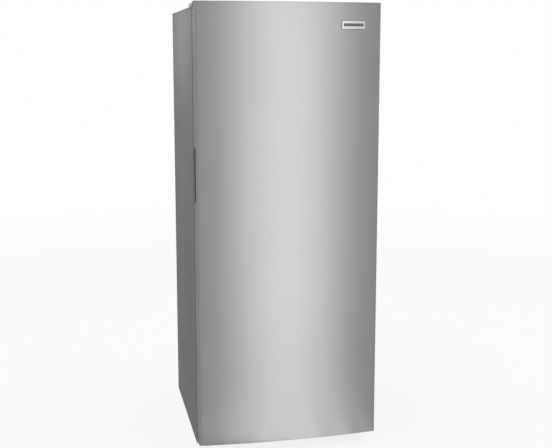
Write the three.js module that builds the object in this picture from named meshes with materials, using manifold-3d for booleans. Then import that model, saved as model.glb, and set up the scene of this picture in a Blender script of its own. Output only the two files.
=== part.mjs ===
// An upright freezer with one bowed steel door. Millimetres, +Z up, front to -Y, standing on z = 0.
import * as THREE from 'three';
import { mergeVertices } from 'three/addons/utils/BufferGeometryUtils.js';
import Module from 'manifold-3d';

const wasm = await Module();
wasm.setup();

// ---- Driving dimensions ----
const width = 711;
const depth = 760; // crown of the door to the back panel
const doorTop = 1742;
const fit = 0.3; // gap between pieces that seat on each other
const sheet = 1; // steel sheet
const plastic = 2; // moulded plastic wall

// cabinet shell
const floorGap = 20;
const doorRise = 15.5; // door top above cabinet top
const sideWall = 60; // outside of the cabinet to the liner
const topWall = 60;
const backWall = 65;
const flangeWidth = 40; // steel face that the gasket seals on
const baseHeight = 30; // rails under the insulated bottom
const floorInsulation = 60;

// machine compartment and the hump it makes in the liner
const machineDepth = 250;
const machineHeight = 250;
const humpInsulation = 62;
const trayThickness = 1.5;

// door
const doorBottom = 43;
const doorBow = 20;
const doorEdge = 65; // thickness at the edges
const doorGap = 14; // door back to cabinet front
const doorCornerRadius = 8;
const capSkirt = 29;
const capLip = 5;
const capWall = 3;
const skinHem = 8;
const bowSteps = 24;
const hingeInset = 14; // hinge axis from the door's side
const hingeForward = 44; // hinge axis in front of the cabinet
const pinRadius = 4;
const bushRadius = 7;

// door lining
const gasketInset = 15.5;
const gasketWidth = 22;
const dykeHeight = 44; // door back to the crest of the dyke
const dykeWidth = 18;
const dykeInset = 13.5; // dyke to the side of the opening
const binCount = 4;
const binHeight = 105;
const binDepth = 112;
const firstBin = 380;
const lugHeight = 12;
const lugReach = 4;
const lugLength = 23;

// pocket handle in the door's left edge
const pocketBottom = 994;
const pocketHeight = 210;
const pocketDepth = 40;
const pocketFront = 12; // door corner to pocket
const pocketBack = 8; // pocket to door back

// inside of the cabinet
const shelfCount = 4;
const firstShelf = 350;
const shelfSetback = 131; // cabinet front to shelf front
const shelfWire = 4;
const shelfPitch = 32; // between the wires
const ledgeReach = 12;
const ledgeHeight = 8;
const basketHeight = 175;
const basketSetback = 81;
const railWidth = 12;
const coverDepth = 73; // evaporator cover, front to back wall
const coverHeight = 423;
const coverInset = 7.5;

// feet
const legInset = 45;
const padRadius = 18;
const padHeight = 8;
const studRadius = 5;
const rollerRadius = 13;
const rollerWidth = 14;
const axleRadius = 3;
const rollerSetback = 45;

// ---- Planes worked out from the dimensions ----
const half = width / 2;
const back = depth / 2;
const crown = -depth / 2;
const doorCorner = crown + doorBow;
const doorBack = doorCorner + doorEdge;
const front = doorBack + doorGap; // cabinet front face
const cabinetTop = doorTop - doorRise;
const bowRadius = (half ** 2 + doorBow ** 2) / (2 * doorBow);
const bowCentre = crown + bowRadius;
const hingeX = half - hingeInset;
const hingeY = front - hingeForward;
const inside = half - sheet - fit; // just inside the steel sides

const baseTop = floorGap + baseHeight;
const openingSide = half - sideWall;
const openingTop = cabinetTop - topWall;
const openingBottom = baseTop + sheet + floorInsulation;
const cavitySide = openingSide - plastic;
const cavityTop = openingTop - plastic;
const cavityFloor = openingBottom + plastic;
const cavityBack = back - backWall - plastic;
const machineFront = back - machineDepth;
const machineTop = floorGap + machineHeight;
const humpFront = machineFront - 55;
const humpTop = machineTop + humpInsulation + plastic + 1;
const trayTop = baseTop + fit + trayThickness;

const linerFace = doorBack + fit + plastic; // cavity side of the door lining's flat
const dykeSide = openingSide - dykeInset - plastic;
const dykeTop = openingTop - dykeInset;
const dykeBottom = openingBottom + dykeInset;
const dykeCrest = doorBack + dykeHeight;
const fieldSide = dykeSide - dykeWidth;
const shelfFront = front + shelfSetback;
const coverFront = cavityBack - fit - coverDepth;
const shelfBack = coverFront - 8;
const basketTop = cavityFloor + basketHeight + 17;

// ---- Finishes ----
function finish(color, roughness, metalness) {
  return new THREE.MeshStandardMaterial({ color, roughness, metalness });
}

const brushedSteel = finish(0xb9bbbc, 0.34, 0.95);
const greyPaint = finish(0x77797b, 0.45, 0.2);
const greyPlastic = finish(0x4b4d4f, 0.5, 0);
const whitePlastic = finish(0xf1f2ef, 0.35, 0);
const zincSteel = finish(0xa6abae, 0.45, 0.8);
const blackSteel = finish(0x1e1f21, 0.4, 0.4);
const blackPlastic = finish(0x242527, 0.55, 0);
const copper = finish(0xb8734a, 0.35, 0.95);
const aluminium = finish(0xc9cdd1, 0.35, 0.9);
const foam = finish(0xe7d9a6, 0.9, 0);
const greyRubber = finish(0x8b8d8f, 0.75, 0);
const whiteWire = finish(0xf5f5f2, 0.3, 0);
const clearPlastic = finish(0xe6e9ea, 0.15, 0);
const brightPlate = finish(0xc9cbcc, 0.3, 0.8);

// ---- Solids ----
function solid(geometry) {
  geometry.deleteAttribute('normal');
  geometry.deleteAttribute('uv');
  const merged = mergeVertices(geometry, 1e-4);
  return new wasm.Manifold(new wasm.Mesh({
    numProp: 3,
    vertProperties: merged.attributes.position.array,
    triVerts: Uint32Array.from(merged.index.array),
  }));
}

function block([x0, x1], [y0, y1], [z0, z1]) {
  const geometry = new THREE.BoxGeometry(x1 - x0, y1 - y0, z1 - z0);
  geometry.translate((x0 + x1) / 2, (y0 + y1) / 2, (z0 + z1) / 2);
  return solid(geometry);
}

// A round rod along 'x', 'y' or 'z'; centre gives its place on the other two axes, in X, Y, Z order.
function rod(axis, radius, [start, end], [u, v], sides = 20) {
  const geometry = new THREE.CylinderGeometry(radius, radius, end - start, sides);
  const middle = (start + end) / 2;
  if (axis === 'x') {
    geometry.rotateZ(Math.PI / 2);
    geometry.translate(middle, u, v);
  } else if (axis === 'y') {
    geometry.translate(u, middle, v);
  } else {
    geometry.rotateX(Math.PI / 2);
    geometry.translate(u, v, middle);
  }
  return solid(geometry);
}

// A plan outline raised between two heights.
function plate(shape, [z0, z1]) {
  const options = { depth: z1 - z0, bevelEnabled: false, curveSegments: 5 };
  const geometry = new THREE.ExtrudeGeometry(shape, options);
  geometry.translate(0, 0, z0);
  return solid(geometry);
}

// A side outline, in Y and Z, carried across from one x to another.
function profile(points, [x0, x1]) {
  const shape = new THREE.Shape(points.map(([y, z]) => new THREE.Vector2(y, z)));
  const geometry = new THREE.ExtrudeGeometry(shape, { depth: x1 - x0, bevelEnabled: false });
  const alongY = new THREE.Vector3(0, 1, 0);
  const alongZ = new THREE.Vector3(0, 0, 1);
  const alongX = new THREE.Vector3(1, 0, 0);
  geometry.applyMatrix4(new THREE.Matrix4().makeBasis(alongY, alongZ, alongX));
  geometry.translate(x0, 0, 0);
  return solid(geometry);
}

// A turned shape from [radius, height] points, stretched along x and stood at a place.
function turned(points, [x, y, z], stretch = 1, sides = 24) {
  const outline = points.map(([radius, height]) => new THREE.Vector2(radius, height));
  const geometry = new THREE.LatheGeometry(outline, sides);
  geometry.rotateX(Math.PI / 2);
  geometry.scale(stretch, 1, 1);
  geometry.translate(x, y, z);
  return solid(geometry);
}

function joined(solids) {
  return solids.reduce((whole, next) => whole.add(next));
}

function without(whole, cuts) {
  return cuts.reduce((rest, cut) => rest.subtract(cut), whole);
}

// A path of straight runs whose points are the only rings of the tube that follows it.
class BentPath extends THREE.Curve {
  constructor(points) {
    super();
    this.points = points;
  }

  getPointAt(u) {
    return this.points[Math.round(u * (this.points.length - 1))].clone();
  }

  getTangentAt(u) {
    const here = Math.round(u * (this.points.length - 1));
    const before = this.points[Math.max(here - 1, 0)];
    const after = this.points[Math.min(here + 1, this.points.length - 1)];
    const arriving = this.points[here].clone().sub(before).normalize();
    const leaving = after.clone().sub(this.points[here]).normalize();
    return arriving.add(leaving).normalize();
  }
}

// Corners of a tube run, each rounded to the bend radius.
function roundedCorners(corners, bend, steps = 4) {
  const points = [corners[0]];
  for (let i = 1; i < corners.length - 1; i += 1) {
    const toBefore = corners[i - 1].clone().sub(corners[i]).normalize();
    const toAfter = corners[i + 1].clone().sub(corners[i]).normalize();
    const start = corners[i].clone().addScaledVector(toBefore, bend);
    const end = corners[i].clone().addScaledVector(toAfter, bend);
    const centre = start.clone().addScaledVector(toAfter, bend);
    for (let k = 0; k <= steps; k += 1) {
      const angle = (k / steps) * (Math.PI / 2);
      const point = centre.clone();
      point.addScaledVector(toAfter, -bend * Math.cos(angle));
      point.addScaledVector(toBefore, -bend * Math.sin(angle));
      points.push(k === 0 ? start : k === steps ? end : point);
    }
  }
  points.push(corners[corners.length - 1]);
  return points;
}

function tube(points, radius, sides = 8) {
  const section = new THREE.Shape();
  for (let i = 0; i < sides; i += 1) {
    const angle = (i / sides) * 2 * Math.PI;
    const place = [radius * Math.cos(angle), radius * Math.sin(angle)];
    if (i === 0) section.moveTo(...place);
    else section.lineTo(...place);
  }
  section.closePath();
  const options = { steps: points.length - 1, extrudePath: new BentPath(points) };
  return solid(new THREE.ExtrudeGeometry(section, options));
}

function bentTube(corners, radius, bend) {
  const places = corners.map((corner) => new THREE.Vector3(...corner));
  return tube(roundedCorners(places, bend), radius);
}

const freezer = new THREE.Group();

function add(name, whole, material) {
  const { vertProperties, triVerts } = whole.getMesh();
  const geometry = new THREE.BufferGeometry();
  geometry.setAttribute('position', new THREE.BufferAttribute(vertProperties, 3));
  geometry.setIndex(new THREE.BufferAttribute(triVerts, 1));
  geometry.computeVertexNormals();
  const mesh = new THREE.Mesh(geometry, material);
  mesh.name = name;
  freezer.add(mesh);
}

// ---- Tubes and ducts that pass through the insulation ----
const coilRadius = 4;
const lineX = 236;
const lineY = coverFront + 22;
const drainX = -160;
const drainY = cavityBack - 32;
const drainRadius = 8;
const plungerX = 200;
const plungerRadius = 4.5;
const plungerZ = (openingTop + cabinetTop - flangeWidth) / 2;
const plungerTail = front + 20;

function passages(clearance) {
  const through = [machineTop - 5, humpTop + 5];
  return [
    rod('z', coilRadius + clearance, through, [lineX, lineY]),
    rod('z', drainRadius + clearance, through, [drainX, drainY]),
    rod('y', plungerRadius + clearance, [front - 1, plungerTail + 2], [plungerX, plungerZ]),
  ];
}

// Side outline of the cold space, grown outwards by a wall.
function cavityOutline(grow, mouth) {
  return [
    [mouth, cavityFloor - grow],
    [humpFront + grow, cavityFloor - grow],
    [humpFront + grow, humpTop - grow],
    [cavityBack + grow, humpTop - grow],
    [cavityBack + grow, cavityTop + grow],
    [mouth, cavityTop + grow],
  ];
}

// ---- Cabinet ----
function addCabinetShell() {
  const shell = block([-half, half], [front, back], [floorGap, cabinetTop]);
  const hollow = block([sheet - half, half - sheet], [front + sheet, back + 1],
    [floorGap - 1, cabinetTop - sheet]);
  const doorway = block([flangeWidth - half, half - flangeWidth], [front - 1, front + 2],
    [baseTop + flangeWidth + 2, cabinetTop - flangeWidth]);
  const toeSpace = block([-inside, inside], [front - 1, front + 2], [floorGap - 1, baseTop]);
  add('cabinet_wrapper', without(shell, [hollow, doorway, toeSpace]), greyPaint);

  add('back_panel', block([-inside, inside], [back - sheet, back],
    [machineTop + fit, cabinetTop - sheet - fit]), zincSteel);

  const bulkhead = joined([
    block([-inside, inside], [machineFront - sheet, machineFront],
      [baseTop + sheet + 2 * fit, machineTop]),
    block([-inside, inside], [machineFront - sheet, back - sheet - fit],
      [machineTop - sheet, machineTop]),
  ]);
  add('machine_bulkhead', without(bulkhead, passages(1)), zincSteel);
}

// Foam round the cold space, with a separate slab of it behind, standing on the hump.
function addInsulation() {
  const rear = back - sheet - fit;
  const top = cabinetTop - sheet - fit;
  const slabFront = cavityBack + plastic + fit;
  const slabFoot = humpTop - plastic - fit;
  add('rear_foam', block([-inside, inside], [slabFront, rear], [slabFoot, top]), foam);

  const whole = block([-inside, inside], [front + plastic + fit, rear],
    [baseTop + sheet + 2 * fit, top]);
  const coldSpace = profile(cavityOutline(plastic + fit, front - 1),
    [-openingSide - fit, openingSide + fit]);
  const machineSpace = block([-half, half], [machineFront - sheet - fit, back + 1],
    [floorGap, machineTop + fit]);
  const slabSpace = block([-half, half], [slabFront - fit, back + 1], [slabFoot - fit, doorTop]);
  add('cabinet_foam', without(whole, [coldSpace, machineSpace, slabSpace, ...passages(1)]), foam);
}

function shelfLevels() {
  const pitch = (cavityTop - firstShelf) / shelfCount;
  return Array.from({ length: shelfCount }, (_, i) => firstShelf + i * pitch);
}

function addLiner() {
  const tub = profile(cavityOutline(plastic, front), [-openingSide, openingSide]);
  const space = profile(cavityOutline(0, front - 1), [-cavitySide, cavitySide]);
  const rim = without(
    block([flangeWidth + fit - half, half - flangeWidth - fit], [front, front + plastic],
      [baseTop + flangeWidth + 2 + fit, cabinetTop - flangeWidth - fit]),
    [block([-cavitySide, cavitySide], [front - 1, front + 3], [cavityFloor, cavityTop])],
  );
  const ledges = shelfLevels().flatMap((level) => [-1, 1].map((side) => {
    const wall = side * (cavitySide + 1);
    const edge = side * (cavitySide - ledgeReach);
    return block([Math.min(wall, edge), Math.max(wall, edge)], [shelfFront, shelfBack],
      [level - ledgeHeight - fit, level - fit]);
  }));
  const liner = joined([without(tub, [space]), rim, ...ledges]);
  add('inner_liner', without(liner, passages(fit)), whitePlastic);
}

// ---- Base, feet and rollers ----
const railReach = 40;
const frontRailDepth = 60;
const rollerX = inside - railReach / 2;
const rollerY = back - rollerSetback;
const legX = half - legInset;
const legY = front + frontRailDepth / 2;

// A channel open underneath.
function channel([x0, x1], [y0, y1], wall) {
  const top = baseTop - fit;
  const outer = block([x0, x1], [y0, y1], [floorGap, top]);
  const inner = block([x0 + wall, x1 - wall], [y0 + wall, y1 - wall], [floorGap - 1, top - wall]);
  return { outer, inner };
}

function addBase() {
  const wall = 2;
  const channels = [
    channel([-inside, inside], [front, front + frontRailDepth], wall),
    channel([-inside, railReach - inside], [front, back - 6], wall),
    channel([inside - railReach, inside], [front, back - 6], wall),
    channel([-inside, inside], [back - 30, back - 6], wall),
  ];
  const frame = without(joined(channels.map((rail) => rail.outer)),
    channels.map((rail) => rail.inner));
  const floorPlate = block([-inside, inside], [front + sheet + fit, machineFront - sheet - fit],
    [baseTop - wall, baseTop + sheet]);
  const bosses = [-1, 1].map((side) => rod('z', studRadius + 5, [30, baseTop - 1],
    [side * legX, legY], 12));
  const ears = [-1, 1].flatMap((side) => [-1, 1].map((face) => {
    const x = side * rollerX + face * (rollerWidth / 2 + 2);
    return block([x - 1, x + 1], [rollerY - 11, rollerY + 11], [4, baseTop - 1]);
  }));
  const holes = [-1, 1].flatMap((side) => [
    rod('z', studRadius + fit, [28, baseTop - wall - 1], [side * legX, legY]),
    rod('x', axleRadius + fit, [side * rollerX - 12, side * rollerX + 12],
      [rollerY, rollerRadius]),
  ]);
  add('base_frame', without(joined([frame, floorPlate, ...bosses, ...ears]), holes), zincSteel);
}

function addFeet() {
  [['left', -1], ['right', 1]].forEach(([name, side]) => {
    const leg = joined([
      rod('z', padRadius, [0, padHeight], [side * legX, legY], 24),
      rod('z', 11, [padHeight - 0.5, padHeight + 7], [side * legX, legY], 6),
      rod('z', studRadius, [padHeight, baseTop - 5], [side * legX, legY]),
    ]);
    add(`levelling_leg_${name}`, leg, blackPlastic);

    const x = side * rollerX;
    const reach = rollerWidth / 2;
    const wheel = rod('x', rollerRadius, [x - reach, x + reach], [rollerY, rollerRadius], 28);
    const bore = rod('x', axleRadius + fit, [x - reach - 1, x + reach + 1],
      [rollerY, rollerRadius]);
    add(`roller_${name}`, wheel.subtract(bore), blackPlastic);
  });
  const axleEnd = rollerX + rollerWidth / 2 + 4;
  add('roller_axle', rod('x', axleRadius, [-axleEnd, axleEnd], [rollerY, rollerRadius]), zincSteel);
}

// ---- Machine compartment ----
const compressorX = 190;
const compressorStretch = 1.2;
const compressorRadius = 72;
const footHeight = 14;
const footReach = [100, 58];
const fanX = -60;
const fanZ = 155;
const machineMiddle = (machineFront + back) / 2;

function addCompressor() {
  const tray = block([-inside, inside], [machineFront + fit, back - 8], [baseTop, trayTop]);
  const corners = [-1, 1].flatMap((u) => [-1, 1].map((v) => [
    compressorX + u * footReach[0], lineY + v * footReach[1],
  ]));
  const grommets = corners.map((place) => rod('z', 9, [trayTop - 1, trayTop + footHeight], place));
  add('compressor_tray', joined([tray, ...grommets]), zincSteel);

  const base = trayTop + footHeight + fit;
  const body = turned([
    [0, 0], [52, 0], [66, 10], [71, 30], [compressorRadius, 62], [compressorRadius + 3, 64],
    [compressorRadius + 3, 70], [compressorRadius, 72], [70, 110], [60, 132], [38, 146], [0, 150],
  ], [compressorX, lineY, base + 2], compressorStretch);
  const foot = block([compressorX - footReach[0] - 12, compressorX + footReach[0] + 12],
    [lineY - footReach[1] - 12, lineY + footReach[1] + 12], [base, base + 3]);
  const stubTop = machineTop - 30;
  const stubs = [lineX, 2 * compressorX - lineX].map((x) => rod('z', coilRadius + 2,
    [base + 120, stubTop], [x, lineY], 12));
  add('compressor', joined([body, foot, ...stubs]), blackSteel);

  const side = compressorX + (compressorRadius + 3) * compressorStretch + fit;
  add('relay_box', block([side, side + 32], [lineY - 30, lineY + 30],
    [base + 40, base + 95]), blackPlastic);
  return stubTop + fit;
}

function addRefrigerantLines(lineStart, coil) {
  const suction = bentTube([
    [lineX, lineY, lineStart],
    [lineX, lineY, coil.evaporatorZ],
    [coil.evaporatorEnd + fit, lineY, coil.evaporatorZ],
  ], coilRadius, 16);
  add('suction_line', suction, copper);

  const stubX = 2 * compressorX - lineX;
  const high = machineTop - 14;
  const near = machineFront + 16;
  const discharge = bentTube([
    [stubX, lineY, lineStart],
    [stubX, lineY, high],
    [stubX, near, high],
    [coil.x, near, high],
    [coil.x, near, coil.z],
    [coil.x, coil.y - fit, coil.z],
  ], coilRadius, 7);
  add('discharge_line', discharge, copper);
}

// Level passes, joined by half-circle bends, down one column and up the next.
function serpentine(passes, ends, toPoint) {
  const points = [];
  passes.forEach((pass, i) => {
    const [from, to] = i % 2 === 0 ? ends : [ends[1], ends[0]];
    points.push(toPoint(from, pass));
    points.push(toPoint(to, pass));
    const next = passes[i + 1];
    if (!next) return;
    const reach = Math.hypot(next[0] - pass[0], next[1] - pass[1]) / 2;
    const outwards = Math.sign(to - from);
    for (let k = 1; k < 5; k += 1) {
      const angle = (k / 5) * Math.PI;
      const share = (1 - Math.cos(angle)) / 2;
      const place = [0, 1].map((axis) => pass[axis] + (next[axis] - pass[axis]) * share);
      points.push(toPoint(to + outwards * reach * Math.sin(angle), place));
    }
  });
  return points;
}

const condenserColumns = [-240, -280];
const condenserRows = 7;
const condenserPitch = 26;
const condenserTop = machineTop - 30;

function addCondenser() {
  const rows = Array.from({ length: condenserRows }, (_, i) => condenserTop - i * condenserPitch);
  const passes = [
    ...rows.map((z) => [condenserColumns[0], z]),
    ...rows.toReversed().map((z) => [condenserColumns[1], z]),
  ];
  const ends = [machineFront + 32, back - 36];
  const path = serpentine(passes, ends, (y, [x, z]) => new THREE.Vector3(x, y, z));
  const drierX = condenserColumns[1] - 50;
  const outlet = [
    path[path.length - 1],
    new THREE.Vector3(condenserColumns[1], ends[0] - 12, condenserTop),
    new THREE.Vector3(drierX, ends[0] - 12, condenserTop),
    new THREE.Vector3(drierX, ends[0] - 12, condenserTop - 16),
  ];
  const coil = tube([...path, ...roundedCorners(outlet, 7).slice(1)], coilRadius, 6);
  const plates = [ends[0] + 12, ends[1] - 14].map((y) => block(
    [condenserColumns[1] - 18, condenserColumns[0] + 18], [y, y + 1.5],
    [trayTop + fit, condenserTop + 12],
  ));
  add('condenser_coil', joined([coil, ...plates]), blackSteel);

  const drier = turned([
    [0, 0], [4, 0], [4, 8], [10, 16], [10, 86], [4, 94], [4, 102], [0, 102],
  ], [drierX, ends[0] - 12, condenserTop - 16 - fit - 102], 1, 16);
  add('filter_drier', drier, copper);
  return { x: condenserColumns[0], y: ends[0], z: condenserTop };
}

// Hub and pitched blades about the +Z axis, before it is turned onto its shaft.
function fanWheel(radius, hubRadius, hubLength, bore) {
  const chord = radius * 0.55;
  const blades = [0, 1, 2, 3, 4].map((i) => {
    const blade = new THREE.BoxGeometry(radius - hubRadius + 3, chord, 1.6);
    blade.rotateX(0.42);
    blade.translate((radius + hubRadius - 3) / 2, 0, 0);
    blade.rotateZ((i / 5) * 2 * Math.PI);
    return solid(blade);
  });
  const hub = rod('z', hubRadius, [-hubLength / 2, hubLength / 2], [0, 0], 20);
  return joined([hub, ...blades]).subtract(rod('z', bore, [-hubLength, hubLength], [0, 0], 16));
}

function addCondenserFan() {
  const radius = 78;
  const panel = 3;
  const open = rod('x', radius + 5, [fanX - 2, fanX + panel + 2], [machineMiddle, fanZ], 32);
  const board = block([fanX, fanX + panel], [machineFront + fit, back - 12],
    [trayTop + fit, machineTop - 22]);
  const bar = block([fanX, fanX + panel], [machineMiddle - 9, machineMiddle + 9],
    [trayTop + 8, machineTop - 26]);
  const shaftHole = rod('x', 4 + fit, [fanX - 2, fanX + panel + 2], [machineMiddle, fanZ], 16);
  add('condenser_fan_shroud', joined([board.subtract(open), bar]).subtract(shaftHole), zincSteel);

  const motor = joined([
    rod('x', 27, [fanX + panel + fit, fanX + panel + 40], [machineMiddle, fanZ], 24),
    rod('x', 4, [fanX - 26, fanX + panel + 5], [machineMiddle, fanZ], 16),
  ]);
  add('condenser_fan_motor', motor, blackSteel);

  const wheel = fanWheel(radius, 16, 20, 4 + fit).rotate([0, 90, 0]);
  add('condenser_fan_blade', wheel.translate([fanX - 20, machineMiddle, fanZ]), blackPlastic);
}

function addDrain() {
  const panFloor = trayTop + fit;
  const across = [drainX - 55, drainX + 55];
  const along = [machineFront + 22, back - 22];
  const pan = block(across, along, [panFloor, panFloor + 40]).subtract(block(
    [across[0] + plastic, across[1] - plastic], [along[0] + plastic, along[1] - plastic],
    [panFloor + plastic, panFloor + 41],
  ));
  add('drain_pan', pan, blackPlastic);

  const low = panFloor + 30;
  const high = humpTop + fit;
  const drain = turned([
    [drainRadius - 2, low], [drainRadius, low], [drainRadius, high], [drainRadius + 5, high],
    [drainRadius + 5, high + 2], [drainRadius - 2, high + 2], [drainRadius - 2, low],
  ], [drainX, drainY, 0], 1, 16);
  add('drain_tube', drain, greyRubber);
}

const coverLow = floorGap + 2;
const inletX = 300;
const inletZ = 80;
const inletRadius = 9;

function addRearCover() {
  const cover = block([-inside, inside], [back - 4, back - 3], [coverLow, machineTop - sheet - fit]);
  const vents = [];
  for (let row = 0; row < 9; row += 1) {
    [-255, 40].forEach((x) => {
      const z = coverLow + 60 + row * 16;
      vents.push(block([x, x + 150], [back - 6, back], [z, z + 6]));
    });
  }
  const hole = rod('y', inletRadius + fit, [back - 6, back], [inletX, inletZ]);
  add('rear_cover', without(cover, [...vents, hole]), zincSteel);

  const bushing = joined([
    rod('y', inletRadius, [back - 12, back], [inletX, inletZ]),
    rod('y', inletRadius + 4, [back - 3 + fit, back], [inletX, inletZ]),
  ]).subtract(rod('y', 4, [back - 14, back + 1], [inletX, inletZ], 16));
  add('power_inlet', bushing, blackPlastic);
}

// ---- Cooling in the cold space ----
const evaporatorRows = 5;
const evaporatorPitch = 34;

function addEvaporator() {
  const low = humpTop + 65;
  const rows = Array.from({ length: evaporatorRows }, (_, i) => low + i * evaporatorPitch);
  const columns = [lineY, lineY + 28];
  const ends = [215, -215];
  const passes = [
    ...rows.map((z) => [columns[0], z]),
    ...rows.toReversed().map((z) => [columns[1], z]),
  ];
  const path = serpentine(passes, ends, (x, [y, z]) => new THREE.Vector3(x, y, z));
  const coil = tube(path, coilRadius, 6);
  const plates = [-190, -65, 65, 190].map((x) => block(
    [x - 0.6, x + 0.6], [coverFront + 8, cavityBack - fit],
    [low - 18, rows[evaporatorRows - 1] + 16],
  ));
  add('evaporator_coil', joined([coil, ...plates]), aluminium);

  add('defrost_heater', rod('x', 4, [-200, 200], [lineY + 14, low - 18 - fit - 4], 12), blackSteel);
  return { evaporatorZ: low, evaporatorEnd: ends[0] };
}

function addEvaporatorFan() {
  const fanHeight = humpTop + 325;
  const radius = 50;
  const cover = block([coverInset - cavitySide, cavitySide - coverInset],
    [coverFront, cavityBack - fit], [humpTop + 3, humpTop + coverHeight]);
  const hollow = block(
    [coverInset + 2.5 - cavitySide, cavitySide - coverInset - 2.5],
    [coverFront + 2.5, cavityBack + 1], [humpTop + 2, humpTop + coverHeight - 2.5],
  );
  const slots = [];
  for (let i = 0; i < 7; i += 1) {
    const z = fanHeight - 45 + i * 14;
    slots.push(block([-46, 46], [coverFront - 1, coverFront + 4], [z, z + 6]));
  }
  for (let i = 0; i < 8; i += 1) {
    const x = -230 + i * 60;
    slots.push(block([x, x + 40], [coverFront - 1, coverFront + 4], [humpTop + 24, humpTop + 32]));
  }
  add('evaporator_cover', without(cover, [hollow, ...slots]), whitePlastic);

  const motorFront = cavityBack - 28;
  const motor = joined([
    rod('y', 24, [motorFront, cavityBack - fit], [0, fanHeight], 20),
    rod('y', 3, [motorFront - 34, motorFront + 2], [0, fanHeight], 12),
  ]);
  add('evaporator_fan_motor', motor, whitePlastic);
  const wheel = fanWheel(radius, 13, 16, 3 + fit).rotate([90, 0, 0]);
  add('evaporator_fan_blade', wheel.translate([0, motorFront - 20, fanHeight]), whitePlastic);
}

// ---- Shelves, basket, control and lamp ----
function addShelves() {
  const side = cavitySide - 2;
  const edge = 6;
  const gaps = Math.round((2 * side) / shelfPitch);
  const pitch = (2 * side - 2 * edge + shelfWire) / gaps;
  shelfLevels().forEach((level, i) => {
    const height = [level, level + shelfWire];
    const openings = Array.from({ length: gaps }, (_, k) => edge - side + k * pitch).map((x) => block(
      [x, x + pitch - shelfWire], [shelfFront + edge, shelfBack - edge], [level - 1, level + 6],
    ));
    const shelf = block([-side, side], [shelfFront, shelfBack], height);
    add(`shelf_${i + 1}`, without(shelf, openings), whiteWire);
  });
}

function addBasket() {
  const rimOut = cavitySide - 5.5;
  const wallOut = cavitySide - railWidth - 5.5;
  const nearY = front + basketSetback;
  const farY = humpFront - 6;
  const wall = 1.2;
  const low = basketTop - basketHeight;
  const tub = joined([
    block([-wallOut, wallOut], [nearY, farY], [low, basketTop]),
    block([-rimOut, rimOut], [nearY, farY], [basketTop - 4, basketTop]),
  ]).subtract(block([wall - wallOut, wallOut - wall], [nearY + wall, farY - wall],
    [low + wall, basketTop + 1]));
  add('basket', tub, whiteWire);

  [['left', -1], ['right', 1]].forEach(([name, side]) => {
    const across = (a, b) => [Math.min(side * a, side * b), Math.max(side * a, side * b)];
    const outer = cavitySide - fit;
    const seat = basketTop - 4 - fit;
    const rail = joined([
      block(across(outer - railWidth, outer), [nearY, farY], [seat - 2, seat]),
      block(across(outer - 2, outer), [nearY, farY], [seat - 14, seat + 12]),
    ]);
    add(`basket_rail_${name}`, rail, whitePlastic);
  });
}

const controlSide = 130;
const controlFront = front + 91;
const controlBack = controlFront + 120;
const controlBottom = cavityTop - 38;
const knobX = 60;
const knobZ = controlBottom + 19;
const lensAcross = [-95, 20];

function addControl() {
  const lensAlong = [controlFront + 35, controlFront + 95];
  const top = cavityTop - fit;
  const housing = block([-controlSide, controlSide], [controlFront, controlBack],
    [controlBottom, top]);
  const hollow = block([plastic - controlSide, controlSide - plastic],
    [controlFront + plastic, controlBack - plastic], [controlBottom + plastic, top + 1]);
  const shaftHole = rod('y', 4 + fit, [controlFront - 1, controlFront + 4], [knobX, knobZ]);
  const lensHole = block(lensAcross, lensAlong, [controlBottom - 1, controlBottom + 3]);
  add('control_housing', without(housing, [hollow, shaftHole, lensHole]), whitePlastic);

  const knob = joined([
    rod('y', 16, [controlFront - fit - 12, controlFront - fit], [knobX, knobZ], 28),
    block([knobX - 3, knobX + 3], [controlFront - fit - 17, controlFront - fit - 8],
      [knobZ - 15, knobZ + 15]),
    rod('y', 4, [controlFront - 3, controlFront + 14], [knobX, knobZ]),
  ]);
  add('temperature_knob', knob, greyPlastic);

  const lens = block([lensAcross[0] + fit, lensAcross[1] - fit],
    [lensAlong[0] + fit, lensAlong[1] - fit], [controlBottom - 6, controlBottom + 2]);
  const lensHollow = block([lensAcross[0] + 3, lensAcross[1] - 3],
    [lensAlong[0] + 3, lensAlong[1] - 3], [controlBottom - 4, controlBottom + 3]);
  add('lamp_lens', lens.subtract(lensHollow), clearPlastic);

  add('light_switch_plunger', rod('y', plungerRadius, [linerFace + fit, plungerTail],
    [plungerX, plungerZ]), whitePlastic);
}

// ---- Hinges and corner covers ----
const armReach = 11;
const armThickness = 3.2;
const coverSheet = 2.2;
const coverWidth = 80;
const coverLength = 97;
const coverRise = 12.5;
const notchFloor = cabinetTop - 1.5;
const bushLength = 20;
const lowerPlate = [36, 40];

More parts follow.
